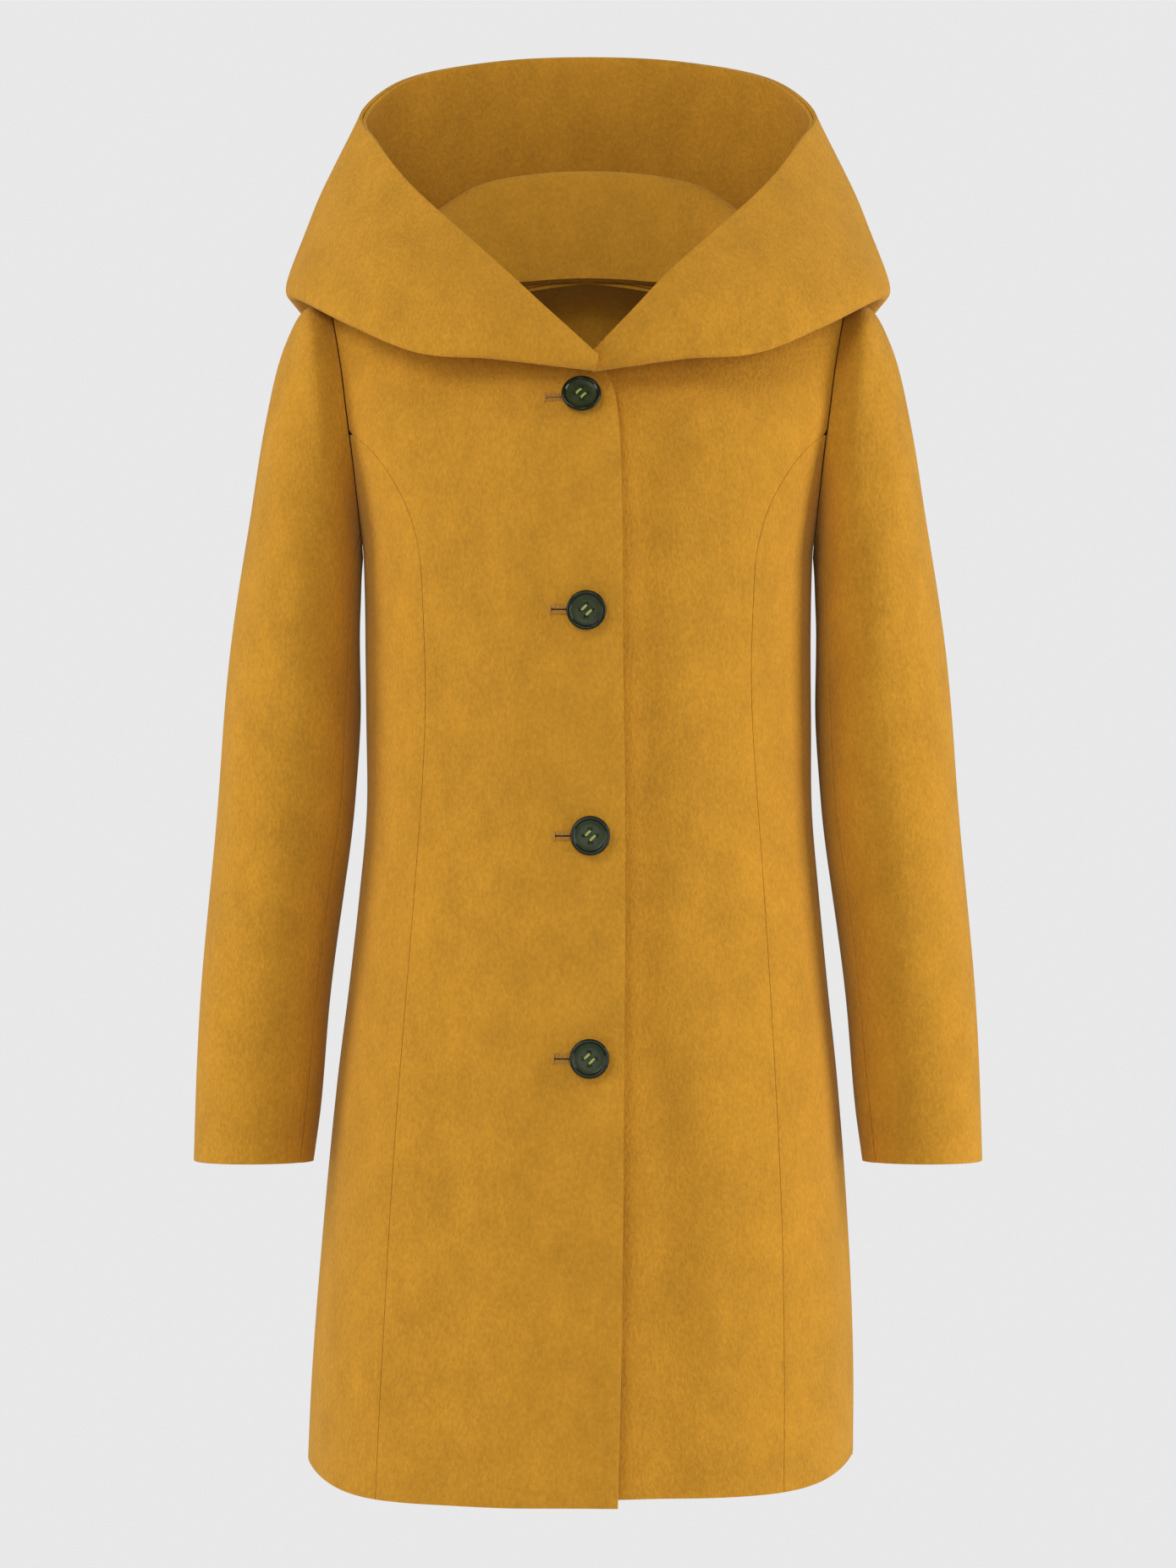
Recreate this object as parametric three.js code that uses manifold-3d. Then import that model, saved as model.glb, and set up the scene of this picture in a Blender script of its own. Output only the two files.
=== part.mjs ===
// Hooded wool coat, hanging as it does on a wearer.
// Millimetres, +Z up, the front faces -Y, and +X is the wearer's left.
// The origin is in the middle of the neck opening, level with the back neck seam.

import * as THREE from "three";
import { mergeVertices } from "three/addons/utils/BufferGeometryUtils.js";
import Module from "manifold-3d";

// Cloth
const SHELL = 3.0;
const FACING = 2.4;
const LINING = 1.2;
const LAYER_GAP = 0.6;
const SEAM_GAP = 0.2;

// Body: half width, depths and sideways lean by height, measured from the neck
const ROUNDNESS = 2.3;
const HEM_Z = -892;
const HEM_SIDE_RISE = 20;
const UNDER_FRONT_RISE = 5;
const LINING_RISE = 26;
const SHOULDER_CENTRE_Z = 6;
const SHOULDER_SLOPE = 0.1925;
const FRONT_ROLL = 100;
const BACK_ROLL = 36;
const ARMPIT_Z = -215;
const PRINCESS_TOP_Z = -126;
const OVERLAP_LIFT = 8.6;

// Buttons and their holes
const BUTTON_RADIUS = 14.2;
const BUTTON_THICKNESS = 4.4;
const BUTTON_STAND = 3.4;
const BUTTON_PLACES = [[-4.8, -104], [-1.2, -256], [0.6, -417], [1.2, -575]];
const SLIT_LENGTH = 25;
const EYELET_RADIUS = 2.9;
const SHANK_RADIUS = 1.7;

// Sleeve seams, as angles round the sleeve from its top edge over the front
const FRONT_SEAM = 145;
const BACK_SEAM = 250;
const SLEEVE_SEAM_GAP = 0.3;

// The middle strip of the hood, which swings up, is this wide to each side
const HOOD_STRIP = 75;

const wasm = await Module();
wasm.setup();

const coat = new THREE.Group();

const WOOL = { color: "#c98f2a", roughness: 0.95, metalness: 0 };
const SATIN = { color: "#b98535", roughness: 0.45, metalness: 0 };
const WADDING = { color: "#e6e0d2", roughness: 1, metalness: 0 };
const HORN = { color: "#23220f", roughness: 0.22, metalness: 0 };
const THREAD = { color: "#b5822a", roughness: 0.8, metalness: 0 };

const lerp = THREE.MathUtils.lerp;
const radians = THREE.MathUtils.degToRad;

// A smooth curve through [height, value] pairs, held level past both ends.
function profile(pairs) {
  const last = pairs.length - 1;
  const slope = (i) => {
    const a = pairs[Math.max(0, i - 1)];
    const b = pairs[Math.min(last, i + 1)];
    return (b[1] - a[1]) / (b[0] - a[0]);
  };
  return (at) => {
    if (at <= pairs[0][0]) return pairs[0][1];
    if (at >= pairs[last][0]) return pairs[last][1];
    const i = pairs.findIndex((p) => p[0] > at) - 1;
    const span = pairs[i + 1][0] - pairs[i][0];
    const t = (at - pairs[i][0]) / span;
    const s = t * t * (3 - 2 * t);
    const bend = t * (1 - t) * span * ((1 - t) * slope(i) - t * slope(i + 1));
    return lerp(pairs[i][1], pairs[i + 1][1], s) + bend;
  };
}

const halfWidth = profile([[-892, 200], [-800, 198], [-700, 192], [-600, 183.5], [-525, 175], [-457, 168],
  [-400, 163.2], [-345, 163], [-215, 164.5], [-178, 170], [-141, 180], [-110, 189], [-73, 198], [-30, 206]]);
const frontDepth = profile([[-892, 150], [-600, 136], [-450, 124], [-345, 120], [-200, 128], [-130, 116],
  [-77, 94], [0, 88]]);
const backDepth = profile([[-892, 145], [-600, 126], [-450, 108], [-345, 94], [-250, 100], [-150, 110],
  [-60, 104], [0, 100]]);
const sway = profile([[-892, -6], [-748, -2.5], [-600, -0.5], [-420, 1], [-280, 0]]);

// Seams and edges, as distances from the middle of the coat
const princessSeam = profile([[-892, 146], [-800, 144], [-674, 139.5], [-550, 132], [-450, 125], [-364, 119],
  [-310, 117], [-252, 118.5], [-215, 121], [-187, 128], [-162, 140], [-140, 156], [-122, 173]]);
const armholeSeam = profile([[-215, 164.5], [-178, 167.5], [-141, 171], [-110, 175], [-73, 180], [-30, 188]]);
const frontEdge = profile([[-892, 27], [-200, 24.5], [-128, 22.5], [-97, 18.5], [-80, 11]]);
const facingEdge = profile([[-892, 75], [-200, 78], [-100, 96], [-20, 140]]);
const frontNeckline = profile([[0, -84], [30, -78], [55, -60], [72, -40], [85, -13]]);
const backNeckline = profile([[0, 0.3], [28, -5.2], [53, -9.2], [73, -11.3], [85, -10.5]]);
const neckFacingEdge = profile([[0, -62], [70, -50], [110, -35], [140, -23]]);

const shoulderZ = (x) => SHOULDER_CENTRE_Z - SHOULDER_SLOPE * Math.abs(x);
const hemZ = (phi) => HEM_Z + HEM_SIDE_RISE * Math.abs(Math.sin(phi)) ** 8;
const armholeOrSide = (z) => (z < ARMPIT_Z ? halfWidth(z) : armholeSeam(z));

// The angle round the body of a point x away from the middle, 0 at the centre and a quarter turn at the side
function angleOf(x, z) {
  const share = Math.min(1, Math.abs(x) / halfWidth(z));
  return Math.sign(x) * Math.asin(share ** (ROUNDNESS / 2));
}

function acrossAt(phi, z) {
  return Math.sign(phi) * halfWidth(z) * Math.abs(Math.sin(phi)) ** (2 / ROUNDNESS);
}

// A point on the body's outer face. facing is -1 on the front and 1 on the back.
function bodyPoint(phi, z, facing, lift = 0) {
  const x = acrossAt(phi, z);
  const depth = (facing < 0 ? frontDepth(z) : backDepth(z)) * Math.abs(Math.cos(phi)) ** (2 / ROUNDNESS);
  const roll = facing < 0 ? FRONT_ROLL : BACK_ROLL;
  const fall = Math.min(1, Math.max(0, shoulderZ(x) - z) / roll);
  const dome = Math.sqrt(1 - (1 - fall) ** 2);
  return new THREE.Vector3(x + sway(z), facing * (depth * dome + SEAM_GAP + lift), z);
}

// A panel of the body between two seams, from the hem at t = 0 to its top edge at t = 1
function bodyPanel({ facing, inner, outer, hem = hemZ, top, lift = () => 0 }) {
  return (u, t) => {
    const climb = 1 - (1 - t) ** 2;
    let z = lerp(HEM_Z, shoulderZ(0), climb);
    let phi = 0;
    for (let pass = 0; pass < 8; pass += 1) {
      phi = lerp(angleOf(inner(z), z), angleOf(outer(z), z), u);
      z = lerp(hem(phi), top(acrossAt(phi, z), z), climb);
    }
    return bodyPoint(phi, z, facing, lift(acrossAt(phi, z)));
  };
}

function normalOf(surface, u, v) {
  const step = 0.002;
  const u0 = Math.max(0, u - step);
  const u1 = Math.min(1, u + step);
  const v0 = Math.max(0, v - step);
  const v1 = Math.min(1, v + step);
  const across = surface(u1, v).sub(surface(u0, v));
  const along = surface(u, v1).sub(surface(u, v0));
  return across.cross(along).normalize();
}

// A box whose two large faces are split into triangles along the same diagonals, so that cloth made from it
// has the same thickness everywhere, and layers that lie on each other never meet
function evenBox(columns, rows) {
  const geometry = new THREE.BoxGeometry(1, 1, 1, columns, rows, 1);
  const index = geometry.index.array;
  const { start, count } = geometry.groups[5];
  for (let i = start; i < start + count; i += 6) {
    const [a, b, d, , c] = index.slice(i, i + 6);
    index.set([a, b, c, a, c, d], i);
  }
  return geometry;
}

// A layer of cloth under a surface, from one depth to another. outward tells which side of the surface is out.
function clothLayer(surface, outward, columns, rows, far, near) {
  const geometry = evenBox(columns, rows);
  const place = geometry.attributes.position;
  for (let i = 0; i < place.count; i += 1) {
    const u = Math.round((place.getX(i) + 0.5) * columns) / columns;
    const v = Math.round((place.getY(i) + 0.5) * rows) / rows;
    const depth = place.getZ(i) > 0 ? far : near;
    const point = surface(u, v);
    const normal = normalOf(surface, u, v);
    const side = Math.sign(normal.dot(outward(point, u, v)));
    point.addScaledVector(normal, -side * depth);
    place.setXYZ(i, point.x, point.y, point.z);
  }
  return closed(geometry);
}

// Merges shared corners and makes every face point out.
function closed(geometry) {
  const bare = geometry.clone();
  bare.deleteAttribute("normal");
  bare.deleteAttribute("uv");
  const merged = mergeVertices(bare.index ? bare.toNonIndexed() : bare, 1e-4);
  const place = merged.attributes.position;
  const index = merged.index.array;
  const corners = [new THREE.Vector3(), new THREE.Vector3(), new THREE.Vector3()];
  let volume = 0;
  for (let i = 0; i < index.length; i += 3) {
    corners.forEach((corner, k) => corner.fromBufferAttribute(place, index[i + k]));
    volume += corners[0].dot(corners[1].clone().cross(corners[2]));
  }
  if (volume < 0) {
    for (let i = 0; i < index.length; i += 3) {
      [index[i + 1], index[i + 2]] = [index[i + 2], index[i + 1]];
    }
  }
  return merged;
}

function toSolid(geometry) {
  const vertProperties = new Float32Array(geometry.attributes.position.array);
  const triVerts = new Uint32Array(geometry.index.array);
  return new wasm.Manifold(new wasm.Mesh({ numProp: 3, vertProperties, triVerts }));
}

function toGeometry(solid) {
  const mesh = solid.simplify(0.01).getMesh();
  const geometry = new THREE.BufferGeometry();
  geometry.setAttribute("position", new THREE.BufferAttribute(new Float32Array(mesh.vertProperties), 3));
  geometry.setIndex(new THREE.BufferAttribute(new Uint32Array(mesh.triVerts), 1));
  return geometry;
}

function boxSolid(low, high) {
  const box = new THREE.BoxGeometry(high[0] - low[0], high[1] - low[1], high[2] - low[2]);
  box.translate((low[0] + high[0]) / 2, (low[1] + high[1]) / 2, (low[2] + high[2]) / 2);
  return toSolid(closed(box));
}

function addPiece(name, geometry, look, parent = coat) {
  geometry.computeVertexNormals();
  const piece = new THREE.Mesh(geometry, new THREE.MeshStandardMaterial(look));
  piece.name = name;
  parent.add(piece);
  return piece;
}

const fromBodyAxis = (point) => new THREE.Vector3(point.x, point.y, 30);
const sides = [{ side: "right", sign: -1 }, { side: "left", sign: 1 }];

// The lift that lets the right front lie over the left one, fading out towards its princess seam
function overlapLift(x) {
  const t = THREE.MathUtils.clamp((x + 105) / 70, 0, 1);
  return OVERLAP_LIFT * t * t * (3 - 2 * t);
}

// Buttonholes

// The place of a button on the right front, with its outward direction
function buttonSeat(x, z) {
  const phi = angleOf(x, z);
  const seat = bodyPoint(phi, z, -1, overlapLift(x));
  const above = bodyPoint(phi, z + 5, -1, overlapLift(x));
  const outward = new THREE.Vector3(0, -(above.z - seat.z), above.y - seat.y).normalize();
  return { seat, outward };
}

// A group whose Z axis points out of the cloth and whose Y axis points up it
function seatGroup(x, z) {
  const { seat, outward } = buttonSeat(x, z);
  const group = new THREE.Group();
  const right = new THREE.Vector3(1, 0, 0);
  const up = outward.clone().cross(right);
  group.matrixAutoUpdate = false;
  group.matrix.makeBasis(right, up, outward).setPosition(seat);
  coat.add(group);
  return group;
}

// A keyhole: a round eyelet at the button's shank and a slit towards the side
function keyhole(grow) {
  const slit = 0.9 + grow;
  const eyelet = EYELET_RADIUS + grow;
  const meet = Math.asin(slit / eyelet);
  const shape = new THREE.Shape();
  shape.moveTo(-SLIT_LENGTH - grow, -slit);
  shape.absarc(0, 0, eyelet, -Math.PI + meet, Math.PI - meet, false);
  shape.lineTo(-SLIT_LENGTH - grow, slit);
  shape.closePath();
  return shape;
}

function keyholeCutter(group) {
  const cutter = new THREE.ExtrudeGeometry(keyhole(0), { depth: 30, bevelEnabled: false, curveSegments: 3 });
  cutter.translate(0, 0, -15);
  cutter.applyMatrix4(group.matrix);
  return toSolid(closed(cutter));
}

const seats = BUTTON_PLACES.map(([x, z]) => seatGroup(x, z));

function withButtonholes(solid) {
  const cut = seats.reduce((left, group) => left.subtract(keyholeCutter(group)), solid);
  return toGeometry(cut);
}

// Body panels

const frontTop = (x) => (Math.abs(x) < 85 ? frontNeckline(Math.abs(x)) : shoulderZ(x));
const backTop = (x) => (Math.abs(x) < 85 ? backNeckline(Math.abs(x)) : shoulderZ(x));

// One side of the front, from its front edge to the side seam and armhole
function frontSide(sign) {
  const over = sign < 0;
  return bodyPanel({
    facing: -1,
    inner: (z) => -sign * frontEdge(z),
    outer: (z) => sign * armholeOrSide(z),
    hem: (phi) => hemZ(phi) + (over ? 0 : UNDER_FRONT_RISE),
    top: frontTop,
    lift: over ? overlapLift : () => 0,
  });
}

// One side of the back, from the given distance off the middle to the side seam and armhole
function backSide(sign, inset) {
  return bodyPanel({
    facing: 1,
    inner: () => sign * inset,
    outer: (z) => sign * armholeOrSide(z),
    top: backTop,
  });
}

// A block that runs right through the coat from front to back, with the given outline in X and Z
function throughBlock(outline) {
  const depth = 800;
  const block = new THREE.ExtrudeGeometry(outline, { depth, bevelEnabled: false });
  block.rotateX(Math.PI / 2);
  block.translate(0, depth / 2, 0);
  return toSolid(closed(block));
}

// Everything beyond a seam on one side, up to a height, with the seam moved outwards by shift
function beyondSeam(seam, sign, shift, top) {
  const far = sign * 400;
  const outline = new THREE.Shape();
  outline.moveTo(far, HEM_Z - 20);
  const steps = Math.round((top - HEM_Z + 20) / 25);
  for (let i = 0; i <= steps; i += 1) {
    const z = lerp(HEM_Z - 20, top, i / steps);
    outline.lineTo(sign * (seam(z) + shift) + sway(z), z);
  }
  outline.lineTo(far, top);
  outline.closePath();
  return throughBlock(outline);
}

// The band round the back of the neck that the neck facing covers
function neckBand(shift) {
  const reach = 136;
  const outline = new THREE.Shape();
  outline.moveTo(-reach, 80);
  for (let x = -reach; x <= reach; x += 16) {
    outline.lineTo(x, neckFacingEdge(Math.abs(x)) + shift);
  }
  outline.lineTo(reach, 80);
  outline.closePath();
  return throughBlock(outline);
}

const COLUMNS = 7;
const ROWS = 13;
const layer = (surface, far, near) => toSolid(clothLayer(surface, fromBodyAxis, COLUMNS, ROWS, far, near));
const underShell = SHELL + LAYER_GAP;
const liningHem = boxSolid([-400, -400, HEM_Z - 50], [400, 400, HEM_Z + LINING_RISE]);
const facingHem = boxSolid([-400, -400, HEM_Z - 50], [400, 400, HEM_Z + UNDER_FRONT_RISE + 3]);

const otherSide = {
  right: boxSolid([-SEAM_GAP / 2, 0, -200], [30, 400, 100]),
  left: boxSolid([-30, 0, -200], [SEAM_GAP / 2, 400, 100]),
};

for (const { side, sign } of sides) {
  const quarters = { front: frontSide(sign), back: backSide(sign, SEAM_GAP) };
  for (const [name, surface] of Object.entries(quarters)) {
    const flat = layer(surface, 0, SHELL);
    const whole = name === "back" ? flat.subtract(otherSide[side]) : flat;
    const centre = whole.subtract(beyondSeam(princessSeam, sign, -SEAM_GAP, PRINCESS_TOP_Z));
    const beside = whole.intersect(beyondSeam(princessSeam, sign, SEAM_GAP, PRINCESS_TOP_Z));
    addPiece(`${name}_${side}`, sign < 0 && name === "front" ? withButtonholes(centre) : toGeometry(centre), WOOL);
    addPiece(`side_${name}_${side}`, toGeometry(beside), WOOL);
  }

  // The facing is the doubled cloth behind the front edge, and the lining covers the rest.
  const facing = layer(quarters.front, underShell + FACING, underShell)
    .subtract(beyondSeam(facingEdge, sign, 0, 50))
    .subtract(facingHem);
  addPiece(`facing_${side}`, sign < 0 ? withButtonholes(facing) : toGeometry(facing), WOOL);
  const lining = layer(quarters.front, underShell + LINING, underShell)
    .intersect(beyondSeam(facingEdge, sign, 0.5, 50))
    .subtract(liningHem);
  addPiece(`lining_front_${side}`, toGeometry(lining), SATIN);
  const backLining = layer(quarters.back, underShell + LINING, underShell)
    .subtract(neckBand(-0.5))
    .subtract(liningHem);
  addPiece(`lining_back_${side}`, toGeometry(backLining), SATIN);
}

const [neckRight, neckLeft] = sides.map(({ sign }) => layer(backSide(sign, 0), underShell + FACING, underShell));
addPiece("back_neck_facing", toGeometry(neckRight.add(neckLeft).intersect(neckBand(0))), WOOL);

// Shoulder pads, under the shoulder line between neck and armhole

function padPoint(sign, u, v, w) {
  const x = lerp(108, 162, u);
  const y = lerp(-40, 40, v);
  const roll = y < 0 ? FRONT_ROLL : BACK_ROLL;
  const width = 62 - 10 * u;
  const under = roll * (1 - Math.sqrt(1 - (y / width) ** 2) * 1);
  const edge = Math.min(1, 4 * v * (1 - v)) * (0.35 + 0.65 * u);
  const top = shoulderZ(x) - under - 10;
  return new THREE.Vector3(sign * x, y, top - (1 - w) * (1.5 + 6.5 * edge));
}

for (const { side, sign } of sides) {
  const pad = new THREE.BoxGeometry(1, 1, 1, 4, 6, 1);
  const place = pad.attributes.position;
  for (let i = 0; i < place.count; i += 1) {
    const point = padPoint(sign, place.getX(i) + 0.5, place.getY(i) + 0.5, place.getZ(i) + 0.5);
    place.setXYZ(i, point.x, point.y, point.z);
  }
  addPiece(`shoulder_pad_${side}`, closed(pad), WADDING);
}

// Sleeves: rings from the armhole to the cuff, each given by its outermost and innermost point,
// its half depth and how far forward it hangs

const SLEEVE_RINGS = [
  { top: [206, -31], bottom: [166.5, -232], depth: 60, forward: 0 },
  { top: [222, -58], bottom: [167, -258], depth: 64, forward: 0 },
  { top: [237, -115], bottom: [167, -290], depth: 67, forward: 0 },
  { top: [250, -200], bottom: [167.5, -335], depth: 68, forward: 0 },
  { top: [263, -300], bottom: [171, -392], depth: 66, forward: 1 },
  { top: [273, -400], bottom: [178, -452], depth: 62, forward: 3 },
  { top: [281, -500], bottom: [187.5, -533], depth: 57, forward: 7 },
  { top: [286, -590], bottom: [195, -606], depth: 51, forward: 13 },
  { top: [288, -655], bottom: [200.5, -655], depth: 46, forward: 19 },
];

function armholePoint(theta) {
  const turn = Math.cos(theta);
  const z = lerp(ARMPIT_Z + 1, -30.5, (turn + 1) / 2);
  const x = armholeSeam(z);
  const facing = Math.sin(theta) > 0 ? -1 : 1;
  const edge = bodyPoint(angleOf(x, z), z, facing);
  return new THREE.Vector3(x + 0.8, edge.y, z);
}

function ringPoint(ring, theta) {
  const middle = new THREE.Vector3((ring.top[0] + ring.bottom[0]) / 2, -ring.forward, (ring.top[1] + ring.bottom[1]) / 2);
  const reach = Math.cos(theta) / 2;
  middle.x += (ring.top[0] - ring.bottom[0]) * reach;
  middle.z += (ring.top[1] - ring.bottom[1]) * reach;
  middle.y -= ring.depth * Math.sin(theta);
  return middle;
}

function sleevePoint(theta, v) {
  const stops = [armholePoint(theta), ...SLEEVE_RINGS.map((ring) => ringPoint(ring, theta))];
  return new THREE.CatmullRomCurve3(stops).getPoint(v);
}

const UPPER_COLUMNS = 9;
const UNDER_COLUMNS = 4;
const SLEEVE_ROWS = 10;

function sleeveSurface(sign, angleAt) {
  return (u, v) => {
    const point = sleevePoint(radians(angleAt(u)), v);
    point.x *= sign;
    return point;
  };
}

// Angles of the whole sleeve, with the corners of both cloth pieces
function wholeSleeveAngle(u) {
  const share = UPPER_COLUMNS / (UPPER_COLUMNS + UNDER_COLUMNS);
  const start = BACK_SEAM - 360 + 1;
  return u < share ? lerp(start, FRONT_SEAM, u / share) : lerp(FRONT_SEAM, BACK_SEAM - 1, (u - share) / (1 - share));
}

function fromSleeveAxis(sign) {
  return (point, u, v) => {
    const axis = sleevePoint(0, v).add(sleevePoint(Math.PI, v)).multiplyScalar(0.5);
    axis.x *= sign;
    return point.clone().sub(axis);
  };
}

const cuffHem = boxSolid([-400, -400, -700], [400, 400, -640]);
for (const { side, sign } of sides) {
  const outward = fromSleeveAxis(sign);
  const gap = SLEEVE_SEAM_GAP;
  const upper = sleeveSurface(sign, (u) => lerp(BACK_SEAM - 360 + gap, FRONT_SEAM - gap, u));
  const under = sleeveSurface(sign, (u) => lerp(FRONT_SEAM + gap, BACK_SEAM - gap, u));
  const whole = sleeveSurface(sign, wholeSleeveAngle);
  const columns = UPPER_COLUMNS + UNDER_COLUMNS;
  addPiece(`sleeve_upper_${side}`, clothLayer(upper, outward, UPPER_COLUMNS, SLEEVE_ROWS, 0, SHELL), WOOL);
  addPiece(`sleeve_under_${side}`, clothLayer(under, outward, UNDER_COLUMNS, SLEEVE_ROWS, 0, SHELL), WOOL);
  const lining = clothLayer(whole, outward, columns, SLEEVE_ROWS, underShell + LINING, underShell);
  addPiece(`sleeve_lining_${side}`, toGeometry(toSolid(lining).subtract(cuffHem)), SATIN);
}

// Hood: nine sections on each side, from the front end to the back of the neck. Each section runs from
// the neck seam over the roll, down to the fold, and up the outer wall to the rim.

const HOOD_SECTIONS = [
  [[4, -103, -76], [5, -107, -73], [6, -112, -73], [6, -116, -77], [6, -119, -86], [5, -124, -78], [4, -122, -66]],
  [[36, -103, -71], [36, -108, -68], [36, -112, -68], [35, -117, -74], [32, -122, -84], [29, -126, -64], [26, -117, -44]],
  [[60, -88, -51], [64, -97, -49], [67, -105, -52], [69, -112, -61], [70, -121, -74], [65, -119, -45], [57, -101, -15]],
  [[80, -56, -25], [90, -70, -23], [100, -84, -31], [110, -96, -47], [118, -108, -70], [107, -99, -29], [88, -76, 15]],
  [[89, -10, -2], [107, -25, 0], [125, -41, -5], [145, -58, -22], [166, -74, -49], [155, -58, 0], [127, -32, 54]],
  [[84, 20, 0], [101, 20, 14], [123, 18, 26], [160, 8, 6], [215, -4, -21], [193, 2, 26], [156, 20, 94]],
  [[73, 40, 3], [87, 48, 24], [105, 59, 47], [142, 64, 12], [215, 46, -24], [202, 52, 40], [167, 58, 117]],
  [[53, 50, 6], [63, 60, 32], [81, 73, 64], [112, 94, 8], [170, 114, -66], [172, 112, 34], [138, 98, 148]],
  [[28, 54, 8], [34, 67, 37], [44, 83, 73], [64, 112, 0], [94, 143, -100], [98, 150, 24], [74, 124, 165]],
];
const HOOD_BACK = [[0, 58, 9], [0, 70, 40], [0, 87, 76], [0, 117, -2], [0, 150, -110], [0, 159, 24], [0, 132, 170]];

const hoodRows = HOOD_BACK.map((back, row) => {
  const half = HOOD_SECTIONS.map((section) => section[row]);
  const right = half.map(([x, y, z]) => new THREE.Vector3(-x, y, z));
  const left = half.map(([x, y, z]) => new THREE.Vector3(x, y, z)).reverse();
  return new THREE.CatmullRomCurve3([...right, new THREE.Vector3(...back), ...left]);
});

function hoodSurface(u, v) {
  return new THREE.CatmullRomCurve3(hoodRows.map((row) => row.getPoint(u))).getPoint(v);
}

// The side of the hood that faces away from the head
const hoodOutward = (point, u, v) => normalOf(hoodSurface, u, v);

const stripBox = boxSolid([-HOOD_STRIP, 0, -300], [HOOD_STRIP, 400, 300]);
const stripHole = boxSolid([-HOOD_STRIP - 0.3, 0, -300], [HOOD_STRIP + 0.3, 400, 300]);
const halfBoxes = {
  right: boxSolid([-400, -400, -300], [-0.5, 400, 300]),
  left: boxSolid([0.5, -400, -300], [400, 400, 300]),
};

const hoodLayer = (far, near) => toSolid(clothLayer(hoodSurface, hoodOutward, 20, 18, far, near));
const hoodShell = hoodLayer(-3, -0.5);
// Where the cloth folds sharply the inner layer keeps clear of the outer one.
const [hoodFacing] = hoodLayer(3, 0.5)
  .subtract(hoodLayer(-3, 0.25))
  .decompose()
  .sort((a, b) => b.volume() - a.volume());

for (const [name, cloth] of [["hood_shell", hoodShell], ["hood_facing", hoodFacing]]) {
  addPiece(`${name}_back`, toGeometry(cloth.intersect(stripBox)), WOOL);
  for (const { side } of sides) {
    addPiece(`${name}_${side}`, toGeometry(cloth.intersect(halfBoxes[side]).subtract(stripHole)), WOOL);
  }
}

// Buttons, their thread shanks and the stitched edges of their holes

function buttonDisc() {
  const r = BUTTON_RADIUS;
  const t = BUTTON_THICKNESS;
  const outline = [[0, 0], [r * 0.7, 0], [r, t * 0.5], [r * 0.93, t], [r * 0.78, t * 0.7], [0, t * 0.66]];
  const disc = new THREE.LatheGeometry(outline.map(([x, y]) => new THREE.Vector2(x, y)), 16);
  disc.rotateX(Math.PI / 2);
  let solid = toSolid(closed(disc));
  for (const [x, y] of [[-2.4, -2.4], [2.4, -2.4], [2.4, 2.4], [-2.4, 2.4]]) {
    const hole = new THREE.CylinderGeometry(1.1, 1.1, 20, 6);
    hole.rotateX(Math.PI / 2);
    hole.translate(x, y, 0);
    solid = solid.subtract(toSolid(closed(hole)));
  }
  return toGeometry(solid);
}

function stitchedEdge() {
  const edge = new THREE.ExtrudeGeometry(keyhole(1.5), { depth: 0.8, bevelEnabled: false, curveSegments: 3 });
  const inside = new THREE.ExtrudeGeometry(keyhole(0.1), { depth: 4, bevelEnabled: false, curveSegments: 3 });
  edge.translate(0, 0, 0.5);
  inside.translate(0, 0, -1);
  return toGeometry(toSolid(closed(edge)).subtract(toSolid(closed(inside))));
}

const shankBottom = -SHELL - LAYER_GAP - FACING - 0.6;
seats.forEach((group, i) => {
  const disc = addPiece(`button_${i + 1}`, buttonDisc(), HORN, group);
  disc.position.z = BUTTON_STAND;
  const shankLength = BUTTON_STAND - shankBottom - 0.45;
  const shank = new THREE.CylinderGeometry(SHANK_RADIUS, SHANK_RADIUS, shankLength, 8);
  shank.rotateX(Math.PI / 2);
  shank.translate(0, 0, shankBottom + shankLength / 2);
  addPiece(`button_shank_${i + 1}`, closed(shank), THREAD, group);
  addPiece(`buttonhole_stitching_${i + 1}`, stitchedEdge(), THREAD, group);
});

// Hanger loop, sewn to the lower edge of the neck facing and hanging inside

const LOOP_HALF = 15;
const LOOP_TOP = -46;
const LOOP_DROP = 26;
const LOOP_Y = 93;
const loopPath = new THREE.CatmullRomCurve3([
  new THREE.Vector3(-LOOP_HALF, LOOP_Y, LOOP_TOP),
  new THREE.Vector3(-LOOP_HALF * 0.93, LOOP_Y, LOOP_TOP - LOOP_DROP * 0.55),
  new THREE.Vector3(-LOOP_HALF * 0.5, LOOP_Y, LOOP_TOP - LOOP_DROP * 0.93),
  new THREE.Vector3(0, LOOP_Y, LOOP_TOP - LOOP_DROP),
  new THREE.Vector3(LOOP_HALF * 0.5, LOOP_Y, LOOP_TOP - LOOP_DROP * 0.93),
  new THREE.Vector3(LOOP_HALF * 0.93, LOOP_Y, LOOP_TOP - LOOP_DROP * 0.55),
  new THREE.Vector3(LOOP_HALF, LOOP_Y, LOOP_TOP),
]);
const tape = new THREE.Shape([
  new THREE.Vector2(-0.8, -2.5),
  new THREE.Vector2(0.8, -2.5),
  new THREE.Vector2(0.8, 2.5),
  new THREE.Vector2(-0.8, 2.5),
]);
const loop = new THREE.ExtrudeGeometry(tape, { steps: 12, extrudePath: loopPath, bevelEnabled: false });
addPiece("hanger_loop", closed(loop), SATIN);

coat.updateMatrixWorld(true);

export default coat;
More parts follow.
